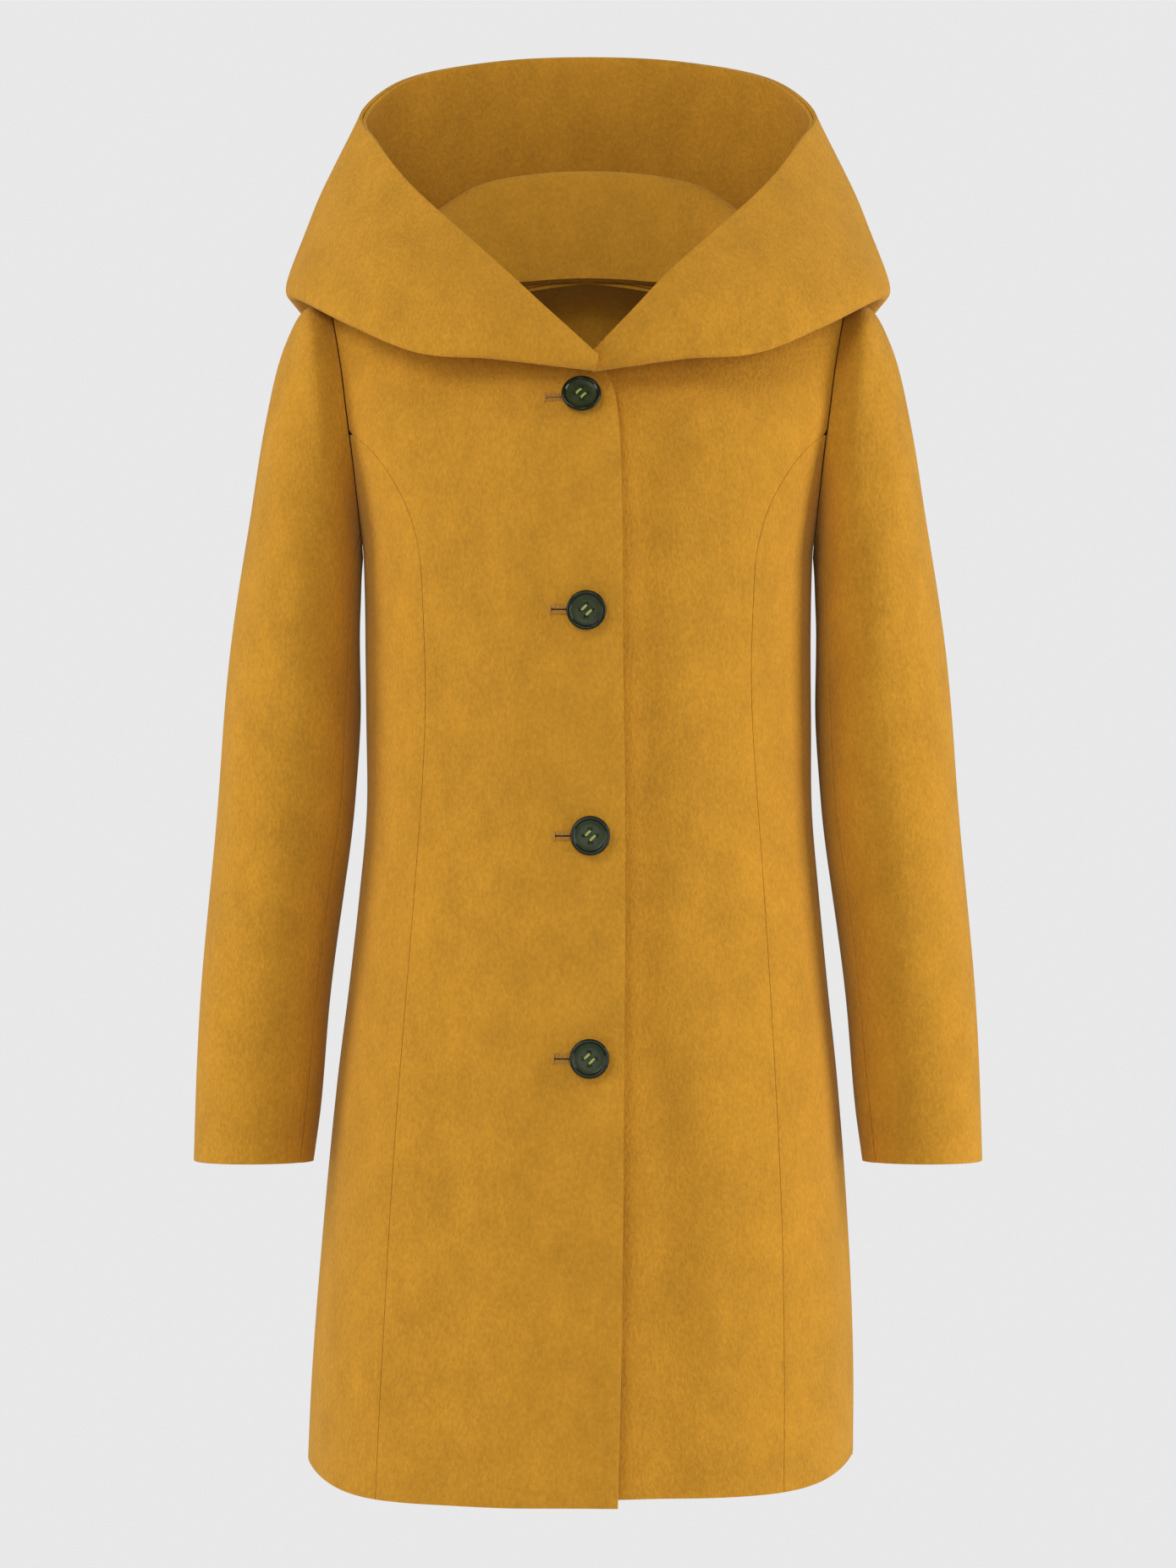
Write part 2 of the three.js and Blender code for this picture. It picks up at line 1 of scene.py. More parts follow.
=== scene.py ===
"""A hooded wool coat, hanging as it does on a wearer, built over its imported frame.

Surfaces are worked out in millimetres and meshes are laid in metres. +Z is up, the front faces -Y and +X is the
wearer's left. The origin is in the middle of the neck opening.
"""

import math

import bmesh
import bpy
import numpy as np
from bpy.props import FloatProperty, FloatVectorProperty, PointerProperty
from mathutils import Matrix, Vector


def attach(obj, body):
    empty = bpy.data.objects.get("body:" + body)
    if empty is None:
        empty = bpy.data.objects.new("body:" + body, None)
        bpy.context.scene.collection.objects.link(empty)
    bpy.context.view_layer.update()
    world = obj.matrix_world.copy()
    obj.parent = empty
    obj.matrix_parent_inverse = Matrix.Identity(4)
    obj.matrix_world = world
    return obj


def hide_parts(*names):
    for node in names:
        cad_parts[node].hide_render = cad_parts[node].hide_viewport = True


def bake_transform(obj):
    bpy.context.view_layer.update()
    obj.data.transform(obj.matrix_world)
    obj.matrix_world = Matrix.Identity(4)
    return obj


bl_info = {
    "name": "Hooded Coat",
    "version": (1, 0, 0),
    "blender": (4, 5, 0),
    "location": "3D View > Sidebar > Coat",
    "description": "Builds a hooded wool coat over its packed frame",
    "category": "Add Mesh",
}

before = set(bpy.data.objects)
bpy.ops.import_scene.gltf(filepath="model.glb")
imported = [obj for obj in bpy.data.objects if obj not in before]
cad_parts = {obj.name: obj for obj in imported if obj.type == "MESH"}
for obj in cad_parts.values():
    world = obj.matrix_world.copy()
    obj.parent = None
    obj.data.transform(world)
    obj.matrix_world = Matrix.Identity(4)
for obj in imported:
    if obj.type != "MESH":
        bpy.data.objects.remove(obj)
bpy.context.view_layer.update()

MM = 0.001
SIDES = {"right": -1, "left": 1}

# Gaps between the layers of cloth and between the pieces that a seam joins
LAYER_GAP = 0.6
SEAM_GAP = 0.2

# The body and its edges
ROUNDNESS = 2.3
HEM_Z = -892
HEM_SIDE_RISE = 20
UNDER_FRONT_RISE = 5
LINING_RISE = 26
SHOULDER_CENTRE_Z = 6
SHOULDER_SLOPE = 0.1925
SHOULDER_ROUNDING = 12
FRONT_ROLL = 100
BACK_ROLL = 36
ARMPIT_Z = -215
ARMHOLE_HEIGHT = 183.5
PRINCESS_TOP_Z = -127
PRINCESS_MEETS_ARMHOLE_Z = -125
OVERLAP_LIFT = 8.6
NECK_HALF = 85
NECK_FACING_HALF = 136

# How brightly the surroundings light the coat
FILL_LIGHT = 0.36

# Buttons, and the slits that they pass through
BUTTON_PLACES = [(-4.8, -104), (-1.2, -256), (0.6, -417), (1.2, -575)]
SLIT_LENGTH = 25
EYELET_RADIUS = 2.9

# Sleeve seams, as angles round the sleeve from its top edge over the front
FRONT_SEAM = 145
BACK_SEAM = 250


# Settings


class CoatSizes(bpy.types.PropertyGroup):
    """Sizes of the coat's cloth and buttons"""

    shell: FloatProperty(name="Shell", description="Thickness of the outer wool", default=0.003, unit="LENGTH")
    facing: FloatProperty(name="Facing", description="Thickness of the wool facings", default=0.0024, unit="LENGTH")
    lining: FloatProperty(name="Lining", description="Thickness of the lining", default=0.0012, unit="LENGTH")
    edge: FloatProperty(name="Edge", description="Rounding of the wool's edges", default=0.0011, unit="LENGTH")
    button: FloatProperty(name="Button", description="Radius of a button", default=0.0142, unit="LENGTH")
    stand: FloatProperty(name="Button stand", description="Space under a button", default=0.0034, unit="LENGTH")
    floor_drop: FloatProperty(name="Floor", description="Hem's height over the floor", default=0.35, unit="LENGTH")


def colour_setting(name, description, default):
    return FloatVectorProperty(name=name, description=description, default=default, subtype="COLOR", min=0, max=1)


class CoatColours(bpy.types.PropertyGroup):
    """Colours of the coat's cloth, thread and buttons"""

    wool: colour_setting("Wool", "Colour of the outer wool", (0.555, 0.256, 0.021))
    satin: colour_setting("Lining", "Colour of the satin lining", (0.40, 0.17, 0.022))
    wadding: colour_setting("Wadding", "Colour of the shoulder pads", (0.70, 0.66, 0.56))
    horn: colour_setting("Button", "Colour of the buttons", (0.009, 0.013, 0.004))
    button_thread: colour_setting("Button thread", "Thread that holds the buttons", (0.36, 0.42, 0.09))
    thread: colour_setting("Thread", "Thread round the buttonholes", (0.56, 0.265, 0.034))
    backdrop: colour_setting("Backdrop", "Floor and surroundings", (0.81, 0.81, 0.81))


def sizes():
    return bpy.context.scene.coat_sizes


def colours():
    return bpy.context.scene.coat_colours


# Curves and surfaces


def profile(pairs):
    """A smooth curve through (height, value) pairs, held level past both ends."""
    at, value = np.array(pairs, float).T
    after = np.append(np.arange(1, len(at)), len(at) - 1)
    before = np.insert(np.arange(len(at) - 1), 0, 0)
    slope = (value[after] - value[before]) / (at[after] - at[before])

    def curve(height):
        height = np.clip(height, at[0], at[-1])
        i = np.clip(np.searchsorted(at, height, side="right") - 1, 0, len(at) - 2)
        span = at[i + 1] - at[i]
        t = (height - at[i]) / span
        ease = t * t * (3 - 2 * t)
        bend = t * (1 - t) * span * ((1 - t) * slope[i] - t * slope[i + 1])
        return value[i] * (1 - ease) + value[i + 1] * ease + bend

    return curve


# The body by height: half width, depths and sideways lean
half_width = profile([(-892, 200), (-800, 198), (-700, 192), (-600, 183.5), (-525, 175), (-457, 168),
                      (-400, 163.2), (-345, 163), (-215, 164.5), (-178, 170), (-141, 180), (-110, 189),
                      (-73, 198), (-30, 206)])
front_depth = profile([(-892, 150), (-600, 136), (-450, 124), (-345, 120), (-200, 128), (-130, 116),
                       (-77, 94), (0, 88)])
back_depth = profile([(-892, 145), (-600, 126), (-450, 108), (-345, 94), (-250, 100), (-150, 110),
                      (-60, 104), (0, 100)])
sway = profile([(-892, -6), (-748, -2.5), (-600, -0.5), (-420, 1), (-280, 0)])

# Seams and edges, as distances from the middle of the coat
princess_seam = profile([(-892, 146), (-800, 144), (-674, 139.5), (-550, 132), (-450, 125), (-364, 119),
                         (-310, 117), (-252, 118.5), (-215, 121), (-187, 128), (-162, 140), (-140, 156),
                         (-125, 172.8)])
armhole_seam = profile([(-215, 164.5), (-178, 167.5), (-141, 171), (-110, 175), (-73, 180), (-30, 188)])
front_edge = profile([(-892, 27), (-200, 24.5), (-128, 22.5), (-97, 18.5), (-80, 11)])
facing_edge = profile([(-892, 75), (-200, 78), (-100, 96), (-20, 140)])
front_neckline = profile([(0, -84), (30, -78), (55, -60), (72, -40), (85, -13)])
back_neckline = profile([(0, -2.1), (28, -5.6), (53, -9.7), (73, -11.3), (85, -10.5)])
neck_facing_edge = profile([(0, -62), (70, -50), (110, -35), (140, -23)])


def ease(t):
    t = np.clip(t, 0, 1)
    return t * t * (3 - 2 * t)


def shoulder_z(x):
    return SHOULDER_CENTRE_Z - SHOULDER_SLOPE * np.hypot(x, SHOULDER_ROUNDING)


def hem_z(phi):
    return HEM_Z + HEM_SIDE_RISE * np.abs(np.sin(phi)) ** 8


def armhole_or_side(z):
    return np.where(z < ARMPIT_Z, half_width(z), armhole_seam(z))


def angle_of(x, z):
    """The angle round the body of a point x off the middle, 0 at the centre and a quarter turn at the side."""
    share = np.minimum(1, np.abs(x) / half_width(z))
    return np.sign(x) * np.arcsin(share ** (ROUNDNESS / 2))


def across_at(phi, z):
    return np.sign(phi) * half_width(z) * np.abs(np.sin(phi)) ** (2 / ROUNDNESS)


def body_drape(x, z, facing):
    """How far the cloth of the body stands out in its soft folds."""
    skirt = ease((-430 - z) / 380)
    waves = 1.5 * np.sin(x / 31 + 0.9 * facing) + 0.9 * np.sin(x / 17 - z / 260 + 1.7)
    chest = ease((z + 330) / 120) * ease((-90 - z) / 60)
    pull = 0.8 * np.sin(x / 21 + z / 55 + facing)
    return skirt * waves + chest * pull


def body_point(phi, z, facing, lift=0.0):
    """A point on the body's outer face. facing is -1 on the front and 1 on the back."""
    x = across_at(phi, z)
    depth = (front_depth if facing < 0 else back_depth)(z) * np.abs(np.cos(phi)) ** (2 / ROUNDNESS)
    fall = np.clip((shoulder_z(x) - z) / (FRONT_ROLL if facing < 0 else BACK_ROLL), 0, 1)
    dome = np.sqrt(1 - (1 - fall) ** 2)
    side = np.abs(np.cos(phi)) ** 0.5
    y = facing * (depth * dome + SEAM_GAP + lift + side * body_drape(x, z, facing))
    return np.stack([x + sway(z), y, z], axis=-1)


def body_panel(facing, inner, outer, hem=hem_z, top=shoulder_z, lift=lambda x, z: 0.0):
    """A panel of the body between two seams, from the hem at v = 0 to its top edge at v = 1."""

    def surface(u, v):
        climb = 1 - (1 - v) ** 2
        z = HEM_Z + (shoulder_z(0) - HEM_Z) * climb
        for _ in range(10):
            start = angle_of(inner(z), z)
            phi = start + (angle_of(outer(z), z) - start) * u
            x = across_at(phi, z)
            low = hem(phi)
            z = low + (top(x) - low) * climb
        return body_point(phi, z, facing, lift(across_at(phi, z), z))

    return surface


def overlap_lift(x, z):
    """The lift that lets the right front lie over the left one, fading out towards its princess seam."""
    return OVERLAP_LIFT * ease((x + 105) / 70)


def under_recess(x, z):
    """The left front sinks a little beside the edge that lies over it."""
    low = ease((-520 - z) / 160)
    return -(3 + 4 * low) * np.exp(-(((x - 38 - 20 * low) / (15 + 14 * low)) ** 2)) * ease((-110 - z) / 60)


def front_top(x):
    return np.where(np.abs(x) < NECK_HALF, front_neckline(np.abs(x)), shoulder_z(x))


def back_top(x):
    return np.where(np.abs(x) < NECK_HALF, back_neckline(np.abs(x)), shoulder_z(x))


def spline(stops, t):
    """Points at t, from 0 to 1, on smooth curves through stops, whose first axis runs along the curves."""
    last = len(stops) - 1
    stops = np.broadcast_to(stops, (last + 1, len(t), 3))
    ends = np.concatenate([[2 * stops[0] - stops[1]], stops, [2 * stops[-1] - stops[-2]]])
    place = np.clip(t, 0, 1) * last
    k = np.minimum(place.astype(int), last - 1)
    w = (place - k)[:, None]
    p0, p1, p2, p3 = (ends[k + i, np.arange(len(t))] for i in range(4))
    d0, d1, d2 = (
        np.maximum(np.linalg.norm(b - a, axis=-1, keepdims=True), 1e-6) ** 0.5
        for a, b in ((p0, p1), (p1, p2), (p2, p3))
    )
    m1 = d1 * ((p1 - p0) / d0 - (p2 - p0) / (d0 + d1) + (p2 - p1) / d1)
    m2 = d1 * ((p2 - p1) / d1 - (p3 - p1) / (d1 + d2) + (p3 - p2) / d2)
    cubic = 2 * p1 - 2 * p2 + m1 + m2
    square = -3 * p1 + 3 * p2 - 2 * m1 - m2
    return p1 + w * (m1 + w * (square + w * cubic))


# Sleeve rings: outermost and innermost point, half depth and how far forward each hangs
SLEEVE_RINGS = [
    ((206, -31), (166.5, -232), 60, 0),
    ((222, -58), (167, -258), 64, 0),
    ((237, -115), (167, -290), 67, 0),
    ((250, -200), (167.5, -335), 68, 0),
    ((263, -300), (171, -392), 66, 1),
    ((273, -400), (178, -452), 62, 3),
    ((281, -500), (187.5, -533), 57, 7),
    ((286, -590), (195, -606), 51, 13),
    ((288, -655), (200.5, -655), 46, 19),
]


def armhole_point(theta):
    turn = np.cos(theta)
    z = ARMPIT_Z + 1 + ARMHOLE_HEIGHT * (turn + 1) / 2
    x = armhole_seam(z)
    front = body_point(angle_of(x, z), z, -1)
    back = body_point(angle_of(x, z), z, 1)
    edge = np.where(np.sin(theta)[:, None] > 0, front, back)
    return np.stack([x + 0.35, edge[:, 1], z], axis=-1)


def ring_point(ring, theta):
    (top_x, top_z), (bottom_x, bottom_z), depth, forward = ring
    reach = np.cos(theta) / 2
    x = (top_x + bottom_x) / 2 + (top_x - bottom_x) * reach
    z = (top_z + bottom_z) / 2 + (top_z - bottom_z) * reach
    return np.stack([x, -forward - depth * np.sin(theta), z], axis=-1)


def sleeve_point(theta, v):
    stops = np.stack([armhole_point(theta), *(ring_point(ring, theta) for ring in SLEEVE_RINGS)])
    return spline(stops, v)


def sleeve_drape(theta, v):
    """How far the sleeve's cloth stands out in its soft folds."""
    middle = np.sin(np.pi * np.clip(v, 0, 1)) ** 0.7
    folds = 1.1 * np.sin(2 * theta + 15 * v) + 0.8 * np.sin(3 * theta - 23 * v + 1)
    return middle * folds


def sleeve_surface(sign, first, last):
    def surface(u, v):
        theta = np.radians(first + (last - first) * u)
        point = sleeve_point(theta, v)
        middle = (sleeve_point(theta * 0, v) + sleeve_point(theta * 0 + np.pi, v)) / 2
        out = point - middle
        out /= np.linalg.norm(out, axis=-1, keepdims=True)
        point = point + out * sleeve_drape(theta, v)[:, None]
        return point * (sign, 1, 1)

    return surface


# Hood sections, from the front end to the back of the neck. Each runs from the neck seam over the roll, down
# to the fold, and up the outer wall to the rim.
HOOD_SECTIONS = [
    [(4, -103, -81), (5, -107, -79), (6, -112, -79), (6, -116, -81), (6, -119, -83), (5, -124, -80),
     (4, -122, -76)],
    [(36, -103, -71), (36, -108, -68), (36, -112, -68), (35, -117, -72), (33, -122, -79), (32, -126, -64),
     (30, -117, -45)],
    [(60, -88, -51), (64, -97, -49), (67, -105, -52), (69, -112, -61), (70, -121, -74), (65, -119, -45),
     (57, -101, -15)],
    [(80, -56, -25), (90, -70, -23), (100, -84, -31), (110, -96, -47), (118, -108, -70), (107, -99, -29),
     (88, -76, 15)],
    [(89, -10, -6), (107, -25, 0), (125, -41, -5), (145, -58, -22), (166, -74, -49), (155, -58, 0),
     (127, -32, 54)],
    [(84, 20, -4), (101, 20, 14), (123, 18, 26), (160, 8, 6), (215, -4, -21), (193, 2, 26), (156, 20, 94)],
    [(73, 32, -8), (87, 48, 24), (105, 59, 47), (142, 64, 12), (215, 46, -24), (202, 52, 40), (167, 58, 117)],
    [(53, 45, -9), (63, 60, 32), (81, 73, 64), (112, 94, 8), (170, 114, -66), (172, 112, 34), (138, 98, 148)],
    [(28, 48.5, -7), (34, 67, 37), (44, 83, 73), (64, 112, 0), (94, 143, -100), (98, 150, 24), (74, 124, 165)],
]
HOOD_BACK = [(0, 49, -6), (0, 70, 40), (0, 87, 76), (0, 117, -2), (0, 150, -110), (0, 159, 24), (0, 132, 170)]

# The right front end of the hood crosses over the left one, which tucks in behind it
HOOD_OVER = [(11, -6, 0), (4, -3, 0)]
HOOD_UNDER = [(-3, 3, 0), (0, 1, 0)]


def hood_surface(u, v):
    rows = []
    for row, back in enumerate(HOOD_BACK):
        left = np.array([section[row] for section in HOOD_SECTIONS], float)
        right = left * (-1, 1, 1)
        right[: len(HOOD_OVER)] += HOOD_OVER
        left[: len(HOOD_UNDER)] += HOOD_UNDER
        line = np.concatenate([right, [back], left[::-1]])
        rows.append(spline(line[:, None, :], u))
    return spline(np.stack(rows), v)


# Materials


class Number:
    """A socket that can be used in sums, so that shader maths reads as maths."""

    def __init__(self, finish, socket):
        self.finish = finish
        self.socket = socket

    def maths(self, operation, first, second):
        node = self.finish.node("ShaderNodeMath", {"operation": operation}, {0: first, 1: second})
        return Number(self.finish, node.outputs[0])

    def __add__(self, other):
        return self.maths("ADD", self, other)

    def __mul__(self, other):
        return self.maths("MULTIPLY", self, other)

    def __rsub__(self, other):
        return self.maths("SUBTRACT", other, self)

    __radd__ = __add__
    __rmul__ = __mul__


class Finish:
    """A material, with the nodes that make its finish."""

    def __init__(self, name):
        self.material = bpy.data.materials.new(name)
        self.material.use_nodes = True
        self.tree = self.material.node_tree
        self.tree.nodes.clear()
        self.surface = self.node("ShaderNodeOutputMaterial").inputs["Surface"]
        self.uv = self.node("ShaderNodeTexCoord").outputs["UV"]

    def node(self, kind, settings=None, inputs=None):
        node = self.tree.nodes.new(kind)
        for key, value in (settings or {}).items():
            if key == "stops":
                self.set_stops(node.color_ramp, value)
            else:
                setattr(node, key, value)
        for key, value in (inputs or {}).items():
            self.feed(node.inputs[key], value)
        return node

    def set_stops(self, ramp, stops):
        for element, (position, shade) in zip((ramp.elements[0], ramp.elements[1]), (stops[0], stops[-1])):
            element.position = position
            element.color = (shade, shade, shade, 1)
        for position, shade in stops[1:-1]:
            ramp.elements.new(position).color = (shade, shade, shade, 1)

    def feed(self, socket, value):
        if isinstance(value, Number):
            value = value.socket
        if isinstance(value, bpy.types.NodeSocket):
            self.tree.links.new(value, socket)
        else:
            socket.default_value = value

    def stretched(self, across, along):
        """The cloth's own coordinates in metres, squeezed to make a pattern longer one way."""
        node = self.node("ShaderNodeMapping", None, {"Vector": self.uv, "Scale": (across, along, 1)})
        return node.outputs["Vector"]

    def hanging(self, down):
        """Object coordinates, squeezed to make a pattern longer down the coat."""
        place = self.node("ShaderNodeTexCoord").outputs["Object"]
        return self.node("ShaderNodeMapping", None, {"Vector": place, "Scale": (1, 1, down)}).outputs["Vector"]

    def noise(self, vector, scale, detail=3.0, roughness=0.5):
        inputs = {"Vector": vector, "Scale": scale, "Detail": detail, "Roughness": roughness}
        return Number(self, self.node("ShaderNodeTexNoise", None, inputs).outputs["Fac"])

    def ramp(self, number, stops):
        return Number(self, self.node("ShaderNodeValToRGB", {"stops": stops}, {"Fac": number}).outputs["Color"])

    def blend(self, factor, first, second):
        """A colour between two colours."""
        node = self.node("ShaderNodeMix", {"data_type": "RGBA"}, {0: factor, 6: first, 7: second})
        return node.outputs[2]

    def bump(self, height, strength, distance, normal=None):
        inputs = {"Height": height, "Strength": strength, "Distance": distance}
        if normal is not None:
            inputs["Normal"] = normal
        return self.node("ShaderNodeBump", None, inputs).outputs["Normal"]

    def shade(self, inputs):
        shader = self.node("ShaderNodeBsdfPrincipled", None, inputs)
        self.tree.links.new(shader.outputs[0], self.surface)
        return self.material


def tone(colour, strength):
    return (*(min(1.0, channel * strength) for channel in colour), 1)


def brushed_wool():
    finish = Finish("brushed_wool")
    colour = colours().wool
    nap = finish.hanging(0.65)
    clouds = finish.ramp(finish.noise(nap, 38, 4, 0.6), [(0.3, 0), (0.7, 1)])
    tufts = finish.ramp(finish.noise(nap, 420, 3, 0.65), [(0.32, 0), (0.68, 1)])
    fibres = finish.noise(nap, 1500, 2)
    shade = clouds * 0.35 + tufts * 0.45 + fibres * 0.2
    pale = finish.blend(shade, tone(colour, 0.74), tone(colour, 1.28))
    deep = finish.noise(nap, 9, 2)
    height = tufts * 0.7 + fibres * 0.3
    return finish.shade({
        "Base Color": finish.blend(finish.ramp(deep, [(0.35, 0), (0.7, 0.12)]), pale, tone(colour, 0.72)),
        "Roughness": 0.88 + tufts * 0.08,
        "Normal": finish.bump(height, 0.5, 0.0009),
        "Specular IOR Level": 0.15,
        "Sheen Weight": 0.26,
        "Sheen Roughness": 0.45,
        "Sheen Tint": (1.0, 0.8, 0.34, 1),
    })


def satin():
    finish = Finish("satin_lining")
    colour = colours().satin
    threads = finish.noise(finish.stretched(1, 0.12), 2600, 2)
    slub = finish.ramp(finish.noise(finish.stretched(0.3, 1), 160, 3), [(0.35, 0), (0.75, 1)])
    return finish.shade({
        "Base Color": finish.blend(threads * 0.7 + slub * 0.3, tone(colour, 0.85), tone(colour, 1.15)),
        "Roughness": 0.34 + slub * 0.12,
        "Normal": finish.bump(threads, 0.2, 0.0002),
        "Sheen Weight": 0.2,
        "Sheen Roughness": 0.3,
    })


def felt_wadding():
    finish = Finish("felt_wadding")
    colour = colours().wadding
    position = finish.node("ShaderNodeTexCoord").outputs["Object"]
    matted = finish.noise(position, 240, 5, 0.7)
    return finish.shade({
        "Base Color": finish.blend(matted, tone(colour, 0.8), tone(colour, 1.1)),
        "Roughness": 0.95,
        "Normal": finish.bump(matted, 0.6, 0.0012),
        "Sheen Weight": 0.2,
    })


def turned_horn():
    finish = Finish("turned_button")
    colour = colours().horn
    position = finish.node("ShaderNodeTexCoord").outputs["Object"]
    streaks = finish.ramp(finish.noise(position, 180, 4, 0.6), [(0.4, 0), (0.75, 1)])
    from_middle = Number(finish, finish.node("ShaderNodeAttribute", {"attribute_name": "from_middle"}).outputs["Fac"])
    # Painted reflection: the dish inside the rim is painted a paler olive than the dark rim, standing in for the pale
    # reflection on the button.
    dish = finish.ramp(from_middle, [(0.72, 1), (0.8, 0)])
    pale = finish.blend(streaks, tone(colour, 2.6), tone(colour, 4.2))
    dark = finish.blend(streaks, tone(colour, 0.7), tone(colour, 1.4))
    return finish.shade({
        "Base Color": finish.blend(dish, dark, pale),
        "Roughness": 0.1 + streaks * 0.06 + dish * 0.25,
        "Specular IOR Level": 0.25,
    })


def twisted_thread(name, colour):
    finish = Finish(name)
    position = finish.node("ShaderNodeTexCoord").outputs["Object"]
    twist = finish.node(
        "ShaderNodeTexWave",
        {"wave_type": "BANDS", "bands_direction": "DIAGONAL"},
        {"Vector": position, "Scale": 900.0, "Distortion": 1.2},
    )
    ply = Number(finish, twist.outputs["Fac"])
    return finish.shade({
        "Base Color": finish.blend(ply, tone(colour, 0.7), tone(colour, 1.15)),
        "Roughness": 0.7 - ply * 0.1,
        "Normal": finish.bump(ply, 0.4, 0.0003),
        "Sheen Weight": 0.15,
    })


def plain_floor():
    finish = Finish("plain_floor")
    shade = colours().backdrop
    position = finish.node("ShaderNodeTexCoord").outputs["Object"]
    grain = finish.noise(position, 55, 4)
    painted = finish.node(
        "ShaderNodeBsdfPrincipled",
        None,
        {"Base Color": finish.blend(grain, tone(shade, 0.97), tone(shade, 1.0)), "Roughness": 0.9},
    )
    glow = finish.node("ShaderNodeEmission", None, {"Color": tone(shade, 1.0), "Strength": 1.0})
    reach = finish.node("ShaderNodeVectorMath", {"operation": "LENGTH"}, {0: position})
    edge = finish.ramp(Number(finish, reach.outputs["Value"]) * 0.5, [(0.72, 0), (0.93, 1)])
    mix = finish.node("ShaderNodeMixShader", None, {0: edge, 1: painted.outputs[0], 2: glow.outputs[0]})
    finish.tree.links.new(mix.outputs[0], finish.surface)
    return finish.material


MAKERS = {
    "wool": brushed_wool,
    "lining": satin,
    "wadding": felt_wadding,
    "button": turned_horn,
    "thread": lambda: twisted_thread("buttonhole_thread", colours().thread),
    "button_thread": lambda: twisted_thread("button_thread", colours().button_thread),
    "floor": plain_floor,
}
made = {}


def material(name):
    if name not in made:
        made[name] = MAKERS[name]()
    return made[name]


# Meshes


def new_object(name, bm, finish):
    """An object from a bmesh, with a finish, smooth shading and its place in its mesh."""
    mesh = bpy.data.meshes.new(name)
    bm.to_mesh(mesh)
    bm.free()
    mesh.shade_smooth()
    mesh.materials.append(material(finish))
    obj = bpy.data.objects.new(name, mesh)
    bpy.context.collection.objects.link(obj)
    return obj


def apply_modifiers(obj):
    depsgraph = bpy.context.evaluated_depsgraph_get()
    mesh = bpy.data.meshes.new_from_object(obj.evaluated_get(depsgraph), depsgraph=depsgraph)
    obj.modifiers.clear()
    obj.data = mesh
    mesh.shade_smooth()
    return obj


def round_edges(obj, width, segments=3, angle=50):
    bevel = obj.modifiers.new("rounding", "BEVEL")
    bevel.width = width
    bevel.segments = segments
    bevel.limit_method = "ANGLE"
    bevel.angle_limit = math.radians(angle)


def normals_of(points):
    """Unit normals of a grid of points."""
    across = np.gradient(points, axis=1)
    along = np.gradient(points, axis=0)
    normal = np.cross(across, along)
    return normal / np.maximum(np.linalg.norm(normal, axis=-1, keepdims=True), 1e-9)


def lay_cloth(name, finish, surface, grid, thickness, depth, outward, rounding=0.0011):
    """A layer of cloth under a surface, at a depth in millimetres. outward gives, for points on the surface, a
    direction that is out."""
    across, along = grid
    bm = bmesh.new()
    flat = bm.loops.layers.uv.new("UVMap")
    bmesh.ops.create_grid(bm, x_segments=across, y_segments=along, size=1)
    spots = np.array([vert.co[:2] for vert in bm.verts]) / 2 + 0.5
    column, row = np.rint(spots * (across, along)).astype(int).T
    points = np.empty((along + 1, across + 1, 3))
    points[row, column] = surface(column / across, row / along)
    normal = normals_of(points)
    if np.sum(normal * outward(points)) < 0:
        normal = -normal
        bmesh.ops.reverse_faces(bm, faces=bm.faces)
    widths = np.linalg.norm(np.diff(points, axis=1), axis=-1)
    lengths = np.linalg.norm(np.diff(points, axis=0), axis=-1)
    x_flat = np.insert(np.cumsum(widths, axis=1), 0, 0, axis=1) - widths.sum(axis=1, keepdims=True) / 2
    y_flat = np.insert(np.cumsum(lengths, axis=0), 0, 0, axis=0)
    laid = points - normal * depth
    for vert, r, c in zip(bm.verts, row, column):
        vert.co = Vector(laid[r, c]) * MM
        for loop in vert.link_loops:
            loop[flat].uv = (x_flat[r, c] * MM, y_flat[r, c] * MM)
    area = sum(face.calc_area() for face in bm.faces)
    obj = new_object(name, bm, finish)
    solidify = obj.modifiers.new("thickness", "SOLIDIFY")
    solidify.thickness = thickness
    solidify.offset = -1
    round_edges(obj, rounding)
    apply_modifiers(obj)
    return obj


def from_body(points):
    out = points.copy()
    out[..., 2] = 30
    return out


def stands_for(obj, slot, body, *nodes):
    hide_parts(*nodes)
    if body:
        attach(obj, body)
    return obj


def quarter(facing, sign):
    """The seams and edges of one quarter of the body."""
    if facing > 0:
        return {"inner": lambda z: sign * SEAM_GAP + z * 0, "hem": hem_z, "top": back_top, "lift": lambda x, z: 0.0}
    over = sign < 0
    return {
        "inner": lambda z: -sign * front_edge(z),
        "hem": hem_z if over else lambda phi: hem_z(phi) + UNDER_FRONT_RISE,
        "top": front_top,
        "lift": overlap_lift if over else under_recess,
    }


def seam_or_armhole(sign, shift):
    """The outer edge of a centre panel: the princess seam, and above its top the armhole."""

    def outer(z):
        below = np.minimum(princess_seam(z) + shift, armhole_or_side(z))
        return sign * np.where(z < PRINCESS_MEETS_ARMHOLE_Z, below, armhole_seam(z))

    return outer


# Buttonholes


def button_seat(x, z):
    """The place of a button on the right front, as a matrix whose Z axis points out of the cloth."""
    heights = np.array([z, z + 5.0])
    spots = body_point(angle_of(np.array([x, x]), heights), heights, -1, overlap_lift(np.array([x, x]), heights))
    out = Vector((0, -(spots[1, 2] - spots[0, 2]), spots[1, 1] - spots[0, 1])).normalized()
    right = Vector((1, 0, 0))
    up = out.cross(right)
    turn = Matrix((right, up, out)).transposed().to_4x4()
    return Matrix.Translation(Vector(spots[0]) * MM) @ turn


